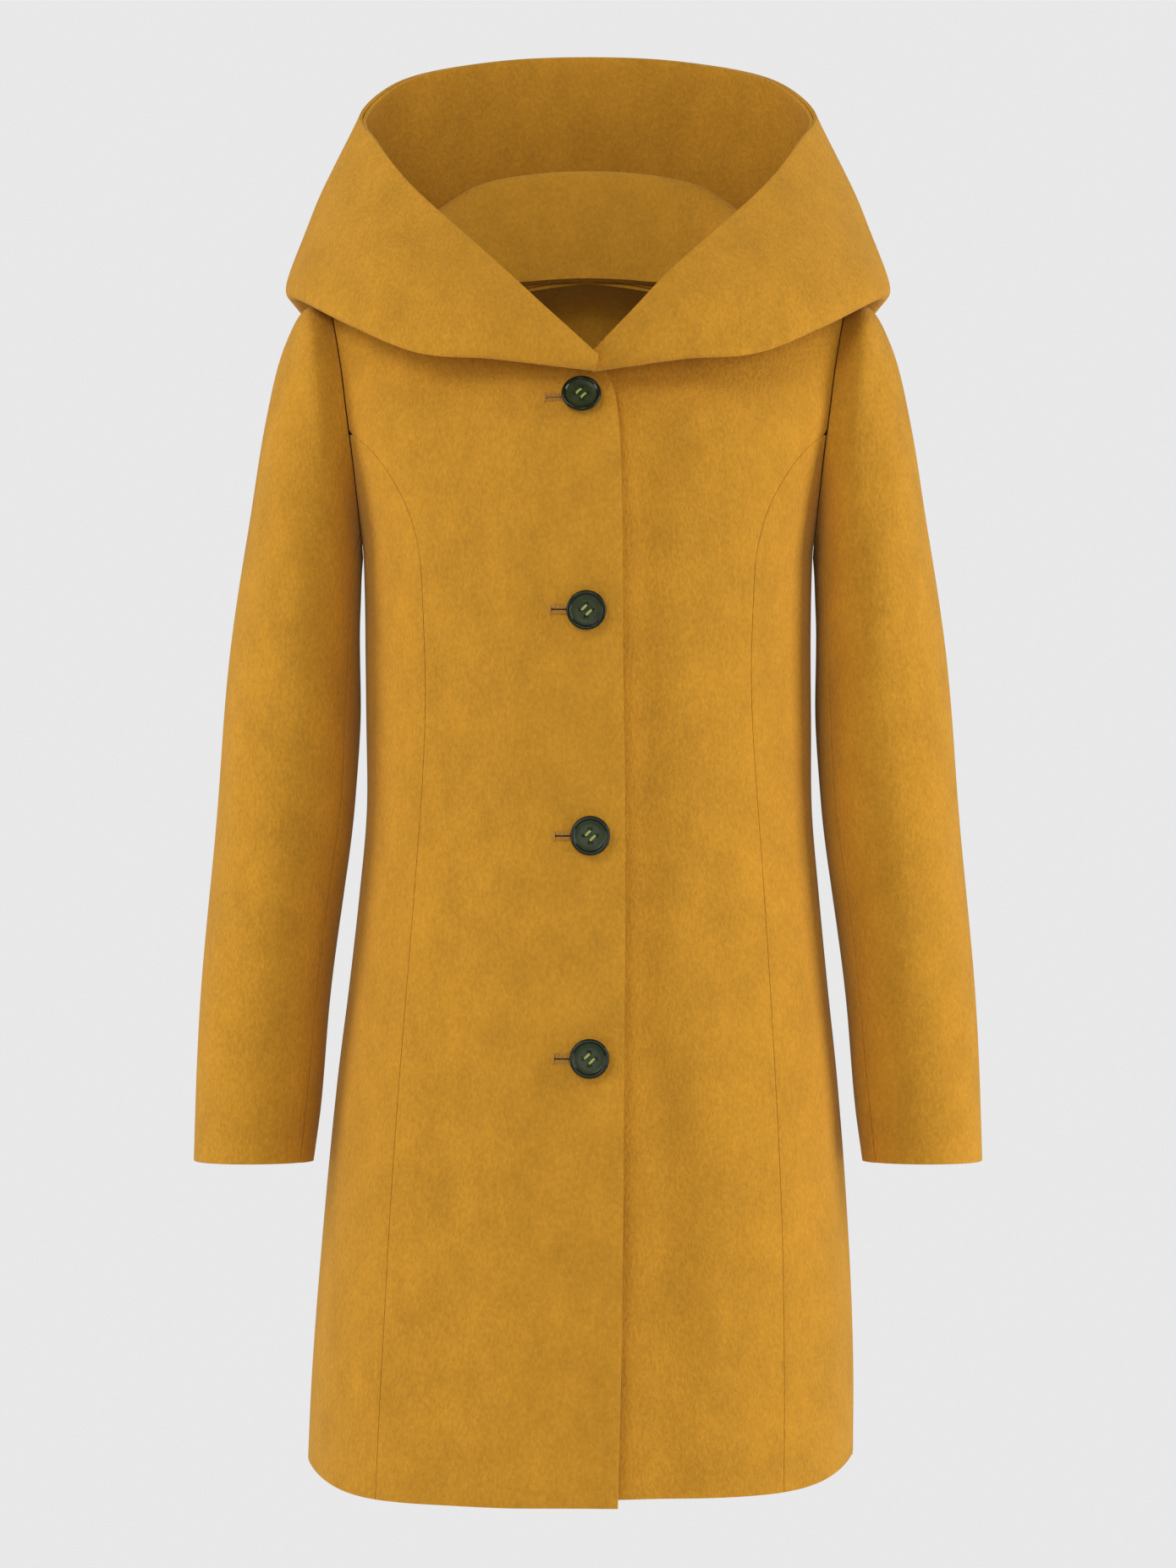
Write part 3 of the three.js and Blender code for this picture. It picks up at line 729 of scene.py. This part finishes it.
def keyhole_cutter():
    """A cutter through the front at each button: an eyelet and a narrow slit towards the side."""
    bm = bmesh.new()
    for x, z in BUTTON_PLACES:
        seat = button_seat(x, z)
        eyelet = EYELET_RADIUS * MM
        made_here = bmesh.ops.create_cone(
            bm, cap_ends=True, segments=24, radius1=eyelet, radius2=eyelet, depth=0.03
        )["verts"]
        bmesh.ops.transform(bm, matrix=seat, verts=made_here)
        slit = Matrix.Diagonal((SLIT_LENGTH * MM, 0.0012, 0.03, 1))
        slit = Matrix.Translation((-SLIT_LENGTH / 2 * MM, 0, 0)) @ slit
        bar = bmesh.ops.create_cube(bm, size=1)["verts"]
        bmesh.ops.transform(bm, matrix=seat @ slit, verts=bar)
    return new_object("keyhole_cutter", bm, "thread")


def cut_buttonholes(obj):
    cutter = keyhole_cutter()
    cut = obj.modifiers.new("buttonholes", "BOOLEAN")
    cut.operation = "DIFFERENCE"
    cut.solver = "EXACT"
    cut.use_self = True
    cut.object = cutter
    apply_modifiers(obj)
    bpy.data.objects.remove(cutter)


# Operators


class COAT_OT_body(bpy.types.Operator):
    """Lays the eight wool panels of the body between their seams"""

    bl_idname = "coat.body"
    bl_label = "Body panels"

    def execute(self, context):
        for side, sign in SIDES.items():
            for place, facing in (("front", -1), ("back", 1)):
                edges = quarter(facing, sign)
                centre = body_panel(facing, outer=seam_or_armhole(sign, -SEAM_GAP), **edges)
                name = f"{place}_{side}"
                obj = lay_cloth(name + "_panel", "wool", centre, (56, 170), sizes().shell, 0.0, from_body,
                                rounding=sizes().edge)
                if name == "front_right":
                    cut_buttonholes(obj)
                stands_for(obj, "wool", "body", name)
                edges["inner"] = lambda z, sign=sign: sign * np.minimum(princess_seam(z) + SEAM_GAP,
                                                                        armhole_or_side(z) - 0.4)
                edges["top"] = lambda x: PRINCESS_TOP_Z + 0 * x
                beside = body_panel(facing, outer=lambda z, sign=sign: sign * armhole_or_side(z), **edges)
                obj = lay_cloth(f"side_{name}_panel", "wool", beside, (26, 150), sizes().shell, 0.0, from_body,
                                rounding=sizes().edge)
                stands_for(obj, "wool", "body", f"side_{name}")
        return {"FINISHED"}


class COAT_OT_facings(bpy.types.Operator):
    """Lays the wool facings behind the front edges and round the back of the neck"""

    bl_idname = "coat.facings"
    bl_label = "Facings"

    def execute(self, context):
        under = sizes().shell / MM + LAYER_GAP
        for side, sign in SIDES.items():
            edges = quarter(-1, sign)
            edges["hem"] = lambda phi: np.maximum(hem_z(phi), HEM_Z + UNDER_FRONT_RISE + 3)
            surface = body_panel(-1, outer=lambda z, sign=sign: sign * np.minimum(facing_edge(z), armhole_or_side(z)),
                                 **edges)
            obj = lay_cloth(f"front_facing_{side}", "wool", surface, (40, 150), sizes().facing, under, from_body)
            if side == "right":
                cut_buttonholes(obj)
            stands_for(obj, "wool", "body", f"facing_{side}")
        neck = body_panel(
            1,
            inner=lambda z: z * 0 - NECK_FACING_HALF,
            outer=lambda z: z * 0 + NECK_FACING_HALF,
            hem=lambda phi: neck_facing_edge(np.abs(across_at(phi, -30))),
            top=back_top,
        )
        obj = lay_cloth("neck_facing_back", "wool", neck, (90, 30), sizes().facing, under, from_body)
        stands_for(obj, "wool", "body", "back_neck_facing")
        return {"FINISHED"}


class COAT_OT_linings(bpy.types.Operator):
    """Lays the satin lining of the body"""

    bl_idname = "coat.linings"
    bl_label = "Linings"

    def execute(self, context):
        under = sizes().shell / MM + LAYER_GAP
        hem = HEM_Z + LINING_RISE
        for side, sign in SIDES.items():
            edges = quarter(-1, sign)
            edges["hem"] = lambda phi: hem + phi * 0
            edges["inner"] = lambda z, sign=sign: sign * (facing_edge(z) + 0.5)
            edges["top"] = shoulder_z
            front = body_panel(-1, outer=lambda z, sign=sign: sign * armhole_or_side(z), **edges)
            obj = lay_cloth(f"front_lining_{side}", "lining", front, (40, 120), sizes().lining, under, from_body,
                            rounding=0.0004)
            stands_for(obj, "lining", "body", f"lining_front_{side}")
            edges = quarter(1, sign)
            edges["hem"] = lambda phi: hem + phi * 0
            edges["top"] = lambda x: np.where(
                np.abs(x) < NECK_FACING_HALF,
                np.minimum(neck_facing_edge(np.abs(x)) - 0.5, shoulder_z(x)),
                shoulder_z(x),
            )
            back = body_panel(1, outer=lambda z, sign=sign: sign * armhole_or_side(z), **edges)
            obj = lay_cloth(f"back_lining_{side}", "lining", back, (60, 120), sizes().lining, under, from_body,
                            rounding=0.0004)
            stands_for(obj, "lining", "body", f"lining_back_{side}")
        return {"FINISHED"}


def pad_form(sign):
    """A shoulder pad before it is stuffed: thick at the armhole and feathered towards the neck."""
    bm = bmesh.new()
    verts = bmesh.ops.create_cube(bm, size=1)["verts"]
    bmesh.ops.subdivide_edges(bm, edges=bm.edges, cuts=11, use_grid_fill=True)
    for vert in bm.verts:
        u, v, w = (coordinate + 0.5 for coordinate in vert.co)
        x = 108 + 54 * u
        y = -40 + 80 * v
        under = (FRONT_ROLL if y < 0 else BACK_ROLL) * (1 - math.sqrt(1 - (y / (62 - 10 * u)) ** 2))
        swell = min(1, 4 * v * (1 - v)) * (0.35 + 0.65 * u)
        top = SHOULDER_CENTRE_Z - SHOULDER_SLOPE * x - under - 10.6
        vert.co = Vector((sign * x, y, top - (1 - w) * (1.2 + 5.6 * swell))) * MM
    bmesh.ops.recalc_face_normals(bm, faces=bm.faces)
    return bm


def stuff(obj, cap=0.0012):
    """Blows the form up as cloth, holding every point within cap of where it was, and keeps the result."""
    remesh = obj.modifiers.new("even", "REMESH")
    remesh.mode = "VOXEL"
    remesh.voxel_size = 0.0022
    apply_modifiers(obj)
    before = np.array([vert.co for vert in obj.data.vertices])
    cloth = obj.modifiers.new("cloth", "CLOTH")
    cloth.settings.use_pressure = True
    cloth.settings.uniform_pressure_force = 4
    cloth.settings.effector_weights.gravity = 0
    for number in range(1, 13):
        bpy.context.scene.frame_set(number)
    apply_modifiers(obj)
    bpy.context.scene.frame_set(1)
    after = np.array([vert.co for vert in obj.data.vertices])
    move = after - before
    length = np.maximum(np.linalg.norm(move, axis=1, keepdims=True), 1e-9)
    held = before + move / length * np.minimum(length, cap)
    obj.data.vertices.foreach_set("co", held.astype(np.float32).ravel())
    smooth = obj.modifiers.new("smooth", "SUBSURF")
    smooth.levels = 1
    smooth.render_levels = 1
    apply_modifiers(obj)


class COAT_OT_pads(bpy.types.Operator):
    """Stuffs the two felt shoulder pads by cloth simulation"""

    bl_idname = "coat.pads"
    bl_label = "Shoulder pads"

    def execute(self, context):
        for side, sign in SIDES.items():
            obj = new_object(f"pad_{side}", pad_form(sign), "wadding")
            stuff(obj)
            stands_for(obj, "wadding", "body", f"shoulder_pad_{side}")
        return {"FINISHED"}


class COAT_OT_sleeves(bpy.types.Operator):
    """Lays the two cloth pieces and the lining of each sleeve"""

    bl_idname = "coat.sleeves"
    bl_label = "Sleeves"

    def execute(self, context):
        under = sizes().shell / MM + LAYER_GAP
        gap = 0.3
        for side, sign in SIDES.items():
            pieces = (
                ("upper", "wool", BACK_SEAM - 360 + gap, FRONT_SEAM - gap, (84, 150), sizes().shell, 0.0),
                ("under", "wool", FRONT_SEAM + gap, BACK_SEAM - gap, (36, 150), sizes().shell, 0.0),
                ("lining", "lining", BACK_SEAM - 360 + 1, BACK_SEAM - 1, (96, 120), sizes().lining, under),
            )
            for piece, finish, first, last, grid, thickness, depth in pieces:
                surface = sleeve_surface(sign, first, last)
                if piece == "lining":
                    surface = shortened(surface)
                obj = lay_cloth(f"{piece}_sleeve_{side}", finish, surface, grid, thickness, depth,
                                lambda points, sign=sign: from_sleeve_axis(points, sign),
                                rounding=0.0011 if finish == "wool" else 0.0004)
                stands_for(obj, finish, None, f"sleeve_{piece}_{side}")
                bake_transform(obj)
        return {"FINISHED"}


def from_sleeve_axis(points, sign):
    """Out of the sleeve, from the line through the middle of its rings."""
    rows = np.linspace(0, 1, len(points))
    middle = (sleeve_point(rows * 0, rows) + sleeve_point(rows * 0 + np.pi, rows)) / 2 * (sign, 1, 1)
    return points - middle[:, None, :]


def shortened(surface, last=0.975):
    """The sleeve lining ends above the cuff."""
    return lambda u, v: surface(u, v * last)


class COAT_OT_hood(bpy.types.Operator):
    """Lays the two layers of the hood"""

    bl_idname = "coat.hood"
    bl_label = "Hood"

    def execute(self, context):
        layer = 0.0027
        for name, offset, out in (("hood_shell", 0.3, 1), ("hood_facing", 0.3, -1)):
            obj = lay_cloth(name, "wool", hood_surface, (190, 120), layer, -offset - layer / MM,
                            lambda points, out=out: normals_of(points) * out)
            stands_for(obj, "wool", None, *(f"{name}_{part}" for part in ("back", "right", "left")))
            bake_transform(obj)
        return {"FINISHED"}


def button_disc():
    """A four-hole button with a raised rim round a shallow dish, lying on its back at the origin."""
    r = sizes().button
    outline = [
        (0, 0), (0.62, 0), (0.86, 0.035), (0.97, 0.10), (1.0, 0.17), (0.985, 0.25), (0.93, 0.305), (0.865, 0.31),
        (0.815, 0.28), (0.785, 0.225), (0.74, 0.195), (0.5, 0.185), (0.25, 0.18), (0, 0.18),
    ]
    bm = bmesh.new()
    verts = [bm.verts.new((x * r, 0, z * r)) for x, z in outline]
    edges = [bm.edges.new(pair) for pair in zip(verts, verts[1:])]
    bmesh.ops.spin(bm, geom=verts + edges, cent=(0, 0, 0), axis=(0, 0, 1), angle=math.tau, steps=64, use_merge=True)
    bmesh.ops.remove_doubles(bm, verts=bm.verts, dist=1e-6)
    bmesh.ops.recalc_face_normals(bm, faces=bm.faces)
    return bm


HOLE_PLACES = [(-2.4, -2.4), (2.4, -2.4), (2.4, 2.4), (-2.4, 2.4)]
HOLE_TURN = Matrix.Rotation(math.radians(-45), 4, "Z")


def drill(obj, seat):
    bm = bmesh.new()
    for x, y in HOLE_PLACES:
        hole = bmesh.ops.create_cone(bm, cap_ends=True, segments=16, radius1=0.0011, radius2=0.0011, depth=0.02)
        place = seat @ HOLE_TURN @ Matrix.Translation((x * MM, y * MM, 0))
        bmesh.ops.transform(bm, matrix=place, verts=hole["verts"])
    cutter = new_object("hole_cutter", bm, "button")
    cut = obj.modifiers.new("holes", "BOOLEAN")
    cut.operation = "DIFFERENCE"
    cut.solver = "EXACT"
    cut.object = cutter
    round_edges(obj, 0.00018, 2, 55)
    apply_modifiers(obj)
    bpy.data.objects.remove(cutter)


def mark_rings(obj, seat):
    """Keeps how far each point of a button is from its middle, as a share of its radius; the button's material paints
    a reflection by it.
    """
    back = seat.inverted()
    shares = [(back @ vert.co).xy.length / sizes().button for vert in obj.data.vertices]
    obj.data.attributes.new("from_middle", "FLOAT", "POINT").data.foreach_set("value", shares)


def add_strand(bm, start, radius, axis, centre, rise, turn, steps):
    """A thread from a circle at start, turned about an axis through centre, rising as it turns."""
    ring = bmesh.ops.create_circle(bm, cap_ends=False, segments=8, radius=radius)["verts"]
    bmesh.ops.translate(bm, verts=ring, vec=start)
    edges = list({edge for vert in ring for edge in vert.link_edges})
    bmesh.ops.spin(bm, geom=ring + edges, cent=centre, axis=axis, dvec=(0, 0, rise / steps), angle=turn, steps=steps,
                   use_duplicate=False)


def join_part(bm, part):
    """Moves the mesh of a part into bm."""
    mesh = bpy.data.meshes.new("part")
    part.to_mesh(mesh)
    part.free()
    bm.from_mesh(mesh)
    bpy.data.meshes.remove(mesh)


def thread_bars(bm, seat, top):
    """Two bars of thread across the button, each out of one hole and into the next."""
    height = 0.45
    for low, high in ((0, 3), (1, 2)):
        part = bmesh.new()
        a, b = (Vector((*HOLE_PLACES[i], 0)) * MM for i in (low, high))
        for lane in (-0.52, 0.0, 0.52):
            side = Vector((lane * MM, 0, 0))
            mark = len(part.verts)
            middle = (a + b) / 2 + side
            add_strand(part, a + side, 0.00038, (-1, 0, 0), middle, 0, math.pi, 14)
            part.verts.ensure_lookup_table()
            for vert in part.verts[mark:]:
                vert.co.z *= height
        bmesh.ops.extrude_edge_only(part, edges=[edge for edge in part.edges if edge.is_boundary])
        lowest = [vert for vert in part.verts if any(edge.is_boundary for edge in vert.link_edges)]
        bmesh.ops.translate(part, verts=lowest, vec=(0, 0, -0.0026))
        bmesh.ops.holes_fill(part, edges=[edge for edge in part.edges if edge.is_boundary])
        bmesh.ops.transform(part, matrix=seat @ HOLE_TURN @ Matrix.Translation((0, 0, top)), verts=part.verts)
        bmesh.ops.recalc_face_normals(part, faces=part.faces)
        join_part(bm, part)


def shank(bm, seat, low, high):
    """Five strands twisted together from the inside of the front up to the button."""
    for strand in range(5):
        part = bmesh.new()
        turn = Matrix.Rotation(math.tau * strand / 5, 4, "Z")
        add_strand(part, turn @ Vector((0.001, 0, low)), 0.00068, (0, 0, 1), (0, 0, 0), high - low,
                   math.radians(260), 26)
        bmesh.ops.holes_fill(part, edges=[edge for edge in part.edges if edge.is_boundary])
        bmesh.ops.recalc_face_normals(part, faces=part.faces)
        bmesh.ops.transform(part, matrix=seat, verts=part.verts)
        join_part(bm, part)


class COAT_OT_buttons(bpy.types.Operator):
    """Turns the four buttons and sews them on with twisted thread"""

    bl_idname = "coat.buttons"
    bl_label = "Buttons"

    def execute(self, context):
        under = sizes().shell + LAYER_GAP * MM + sizes().facing + 0.0006
        for number, (x, z) in enumerate(BUTTON_PLACES, 1):
            seat = button_seat(x, z)
            lifted = seat @ Matrix.Translation((0, 0, sizes().stand))
            bm = button_disc()
            bmesh.ops.transform(bm, matrix=lifted, verts=bm.verts)
            disc = new_object(f"button_disc_{number}", bm, "button")
            drill(disc, lifted)
            mark_rings(disc, lifted)
            stands_for(disc, "button", f"button_{number}", f"button_{number}")
            bm = bmesh.new()
            thread_bars(bm, lifted, 0.18 * sizes().button + 0.0001)
            bars = new_object(f"button_bars_{number}", bm, "button_thread")
            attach(bars, f"button_{number}")
            bm = bmesh.new()
            shank(bm, seat, -under, sizes().stand - 0.0006)
            stem = new_object(f"shank_{number}", bm, "button_thread")
            stands_for(stem, "button_thread", "body", f"button_shank_{number}")
        return {"FINISHED"}


def add_stitch(bm, place, length, width):
    """One stitch: a small rounded bar along its own Y axis."""
    bar = bmesh.ops.create_cube(bm, size=1)["verts"]
    edges = list({edge for vert in bar for edge in vert.link_edges})
    bmesh.ops.scale(bm, verts=bar, vec=(width, length, 0.0009))
    rounded = bmesh.ops.bevel(bm, geom=edges, offset=width * 0.36, offset_type="OFFSET", affect="EDGES", segments=2,
                              profile=0.5, material=-1)
    verts = list({vert for face in rounded["faces"] for vert in face.verts})
    bmesh.ops.transform(bm, matrix=place, verts=verts)


class COAT_OT_buttonholes(bpy.types.Operator):
    """Works the stitched edge and the bar tack of each buttonhole"""

    bl_idname = "coat.buttonholes"
    bl_label = "Buttonhole stitching"

    def execute(self, context):
        pitch = 0.00096
        for number, (x, z) in enumerate(BUTTON_PLACES, 1):
            seat = button_seat(x, z)
            bm = bmesh.new()
            count = int((SLIT_LENGTH * MM - 0.003) / pitch)
            for i in range(count):
                along = -0.0032 - i * pitch
                for sign in (-1, 1):
                    sink = -0.0001 * ((i * 7 + sign) % 3)
                    place = Matrix.Translation((along, sign * 0.00178, 0.0003 + sink))
                    tilt = Matrix.Rotation(math.radians(4 * ((i * 5) % 3 - 1)), 4, "Z")
                    add_stitch(bm, seat @ place @ tilt, 0.0026, 0.00086)
            for i in range(9):
                lean = math.pi * (0.14 + 0.72 * i / 8)
                place = Matrix.Rotation(lean - math.pi / 2, 4, "Z") @ Matrix.Translation((0.0041, 0, 0.0002))
                add_stitch(bm, seat @ place @ Matrix.Rotation(math.pi / 2, 4, "Z"), 0.0021, 0.00074)
            for i in range(3):
                place = Matrix.Translation((-SLIT_LENGTH * MM - 0.0004 - i * 0.0006, 0, 0.0003))
                add_stitch(bm, seat @ place, 0.0072, 0.00066)
            bmesh.ops.recalc_face_normals(bm, faces=bm.faces)
            obj = new_object(f"buttonhole_{number}", bm, "thread")
            stands_for(obj, "thread", "body", f"buttonhole_stitching_{number}")
        return {"FINISHED"}


class COAT_OT_loop(bpy.types.Operator):
    """Hangs the tape loop inside the back of the neck"""

    bl_idname = "coat.loop"
    bl_label = "Hanger loop"

    def execute(self, context):
        half, top, drop, depth = 15.0, -46.0, 26.0, 93.0
        hang = [(1, 0), (0.93, 0.55), (0.5, 0.93), (0, 1), (-0.5, 0.93), (-0.93, 0.55), (-1, 0)]
        line = np.array([(half * side, depth, top - drop * down) for side, down in hang])

        def surface(u, v):
            middle = spline(line[:, None, :], v)
            ahead = spline(line[:, None, :], np.minimum(v + 0.01, 1)) - spline(line[:, None, :],
                                                                              np.maximum(v - 0.01, 0))
            across = np.cross(ahead, (0, 1, 0))
            across /= np.linalg.norm(across, axis=-1, keepdims=True)
            return middle + across * ((u - 0.5) * 5)[:, None]

        obj = lay_cloth("loop_tape", "lining", surface, (8, 60), 0.0014, -0.7,
                        lambda points: np.zeros_like(points) + (0, -1, 0), rounding=0.0004)
        stands_for(obj, "lining", "hanger_loop", "hanger_loop")
        return {"FINISHED"}


def add_light(name, place, target, size, power):
    data = bpy.data.lights.new(name, "AREA")
    data.shape = "RECTANGLE"
    data.size, data.size_y = size
    data.energy = power
    lamp = bpy.data.objects.new(name, data)
    lamp.location = place
    lamp.rotation_euler = (Vector(target) - Vector(place)).to_track_quat("-Z", "Y").to_euler()
    bpy.context.collection.objects.link(lamp)


class COAT_OT_stage(bpy.types.Operator):
    """Sets the floor, the studio light and the camera"""

    bl_idname = "coat.stage"
    bl_label = "Stage"

    def light_world(self, tree):
        """The backdrop is bright to look at and lights the coat less, so that the lamps model its folds."""
        seen = tree.nodes["Background"]
        seen.inputs["Color"].default_value = (*colours().backdrop, 1)
        fill = tree.nodes.new("ShaderNodeBackground")
        fill.inputs["Color"].default_value = (FILL_LIGHT, FILL_LIGHT, FILL_LIGHT, 1)
        mix = tree.nodes.new("ShaderNodeMixShader")
        tree.links.new(tree.nodes.new("ShaderNodeLightPath").outputs["Is Camera Ray"], mix.inputs[0])
        tree.links.new(fill.outputs[0], mix.inputs[1])
        tree.links.new(seen.outputs[0], mix.inputs[2])
        tree.links.new(mix.outputs[0], tree.nodes["World Output"].inputs["Surface"])

    def execute(self, context):
        low = HEM_Z * MM - sizes().floor_drop
        bm = bmesh.new()
        bmesh.ops.create_circle(bm, cap_ends=True, segments=96, radius=1.9)
        bmesh.ops.translate(bm, verts=bm.verts, vec=(0, 0, low))
        new_object("floor", bm, "floor")
        world = bpy.data.worlds.new("surroundings")
        world.use_nodes = True
        self.light_world(world.node_tree)
        context.scene.world = world
        context.scene.view_settings.view_transform = "Standard"
        add_light("key", (-1.6, -3.0, 1.7), (0, 0, -0.3), (1.4, 1.4), 34)
        add_light("front", (0.3, -4.3, 0.1), (0, 0, -0.2), (1.2, 1.2), 24)
        add_light("side_right", (2.2, -0.5, -0.2), (0, 0, -0.6), (0.7, 2.2), 36)
        add_light("side_left", (-2.2, -0.5, 0.1), (0, 0, -0.45), (0.7, 2.2), 24)
        lens = bpy.data.cameras.new("view")
        lens.sensor_fit = "VERTICAL"
        lens.sensor_height = 24
        lens.lens = 24 / (2 * math.tan(math.radians(15.6) / 2))
        camera = bpy.data.objects.new("view", lens)
        camera.location = (0, -4.2, -0.38)
        camera.rotation_euler = (math.pi / 2, 0, 0)
        context.collection.objects.link(camera)
        context.scene.camera = camera
        return {"FINISHED"}


class COAT_PT_sidebar(bpy.types.Panel):
    """Lists the coat's sizes, colours and pieces"""

    bl_idname = "COAT_PT_sidebar"
    bl_label = "Hooded coat"
    bl_space_type = "VIEW_3D"
    bl_region_type = "UI"
    bl_category = "Coat"

    def draw(self, context):
        for group in (context.scene.coat_sizes, context.scene.coat_colours):
            column = self.layout.column(align=True)
            for name in group.__annotations__:
                column.prop(group, name)
        column = self.layout.column(align=True)
        for operator in OPERATORS:
            column.operator(operator.bl_idname)


OPERATORS = (
    COAT_OT_stage,
    COAT_OT_body,
    COAT_OT_facings,
    COAT_OT_linings,
    COAT_OT_pads,
    COAT_OT_sleeves,
    COAT_OT_hood,
    COAT_OT_buttons,
    COAT_OT_buttonholes,
    COAT_OT_loop,
)
CLASSES = (CoatSizes, CoatColours, *OPERATORS, COAT_PT_sidebar)


def register():
    for cls in CLASSES:
        bpy.utils.register_class(cls)
    bpy.types.Scene.coat_sizes = PointerProperty(type=CoatSizes)
    bpy.types.Scene.coat_colours = PointerProperty(type=CoatColours)


def unregister():
    del bpy.types.Scene.coat_colours
    del bpy.types.Scene.coat_sizes
    for cls in reversed(CLASSES):
        bpy.utils.unregister_class(cls)


def main():
    register()
    bpy.ops.coat.stage()
    bpy.ops.coat.body()
    bpy.ops.coat.facings()
    bpy.ops.coat.linings()
    bpy.ops.coat.pads()
    bpy.ops.coat.sleeves()
    bpy.ops.coat.hood()
    bpy.ops.coat.buttons()
    bpy.ops.coat.buttonholes()
    bpy.ops.coat.loop()


if __name__ == "__main__":
    main()
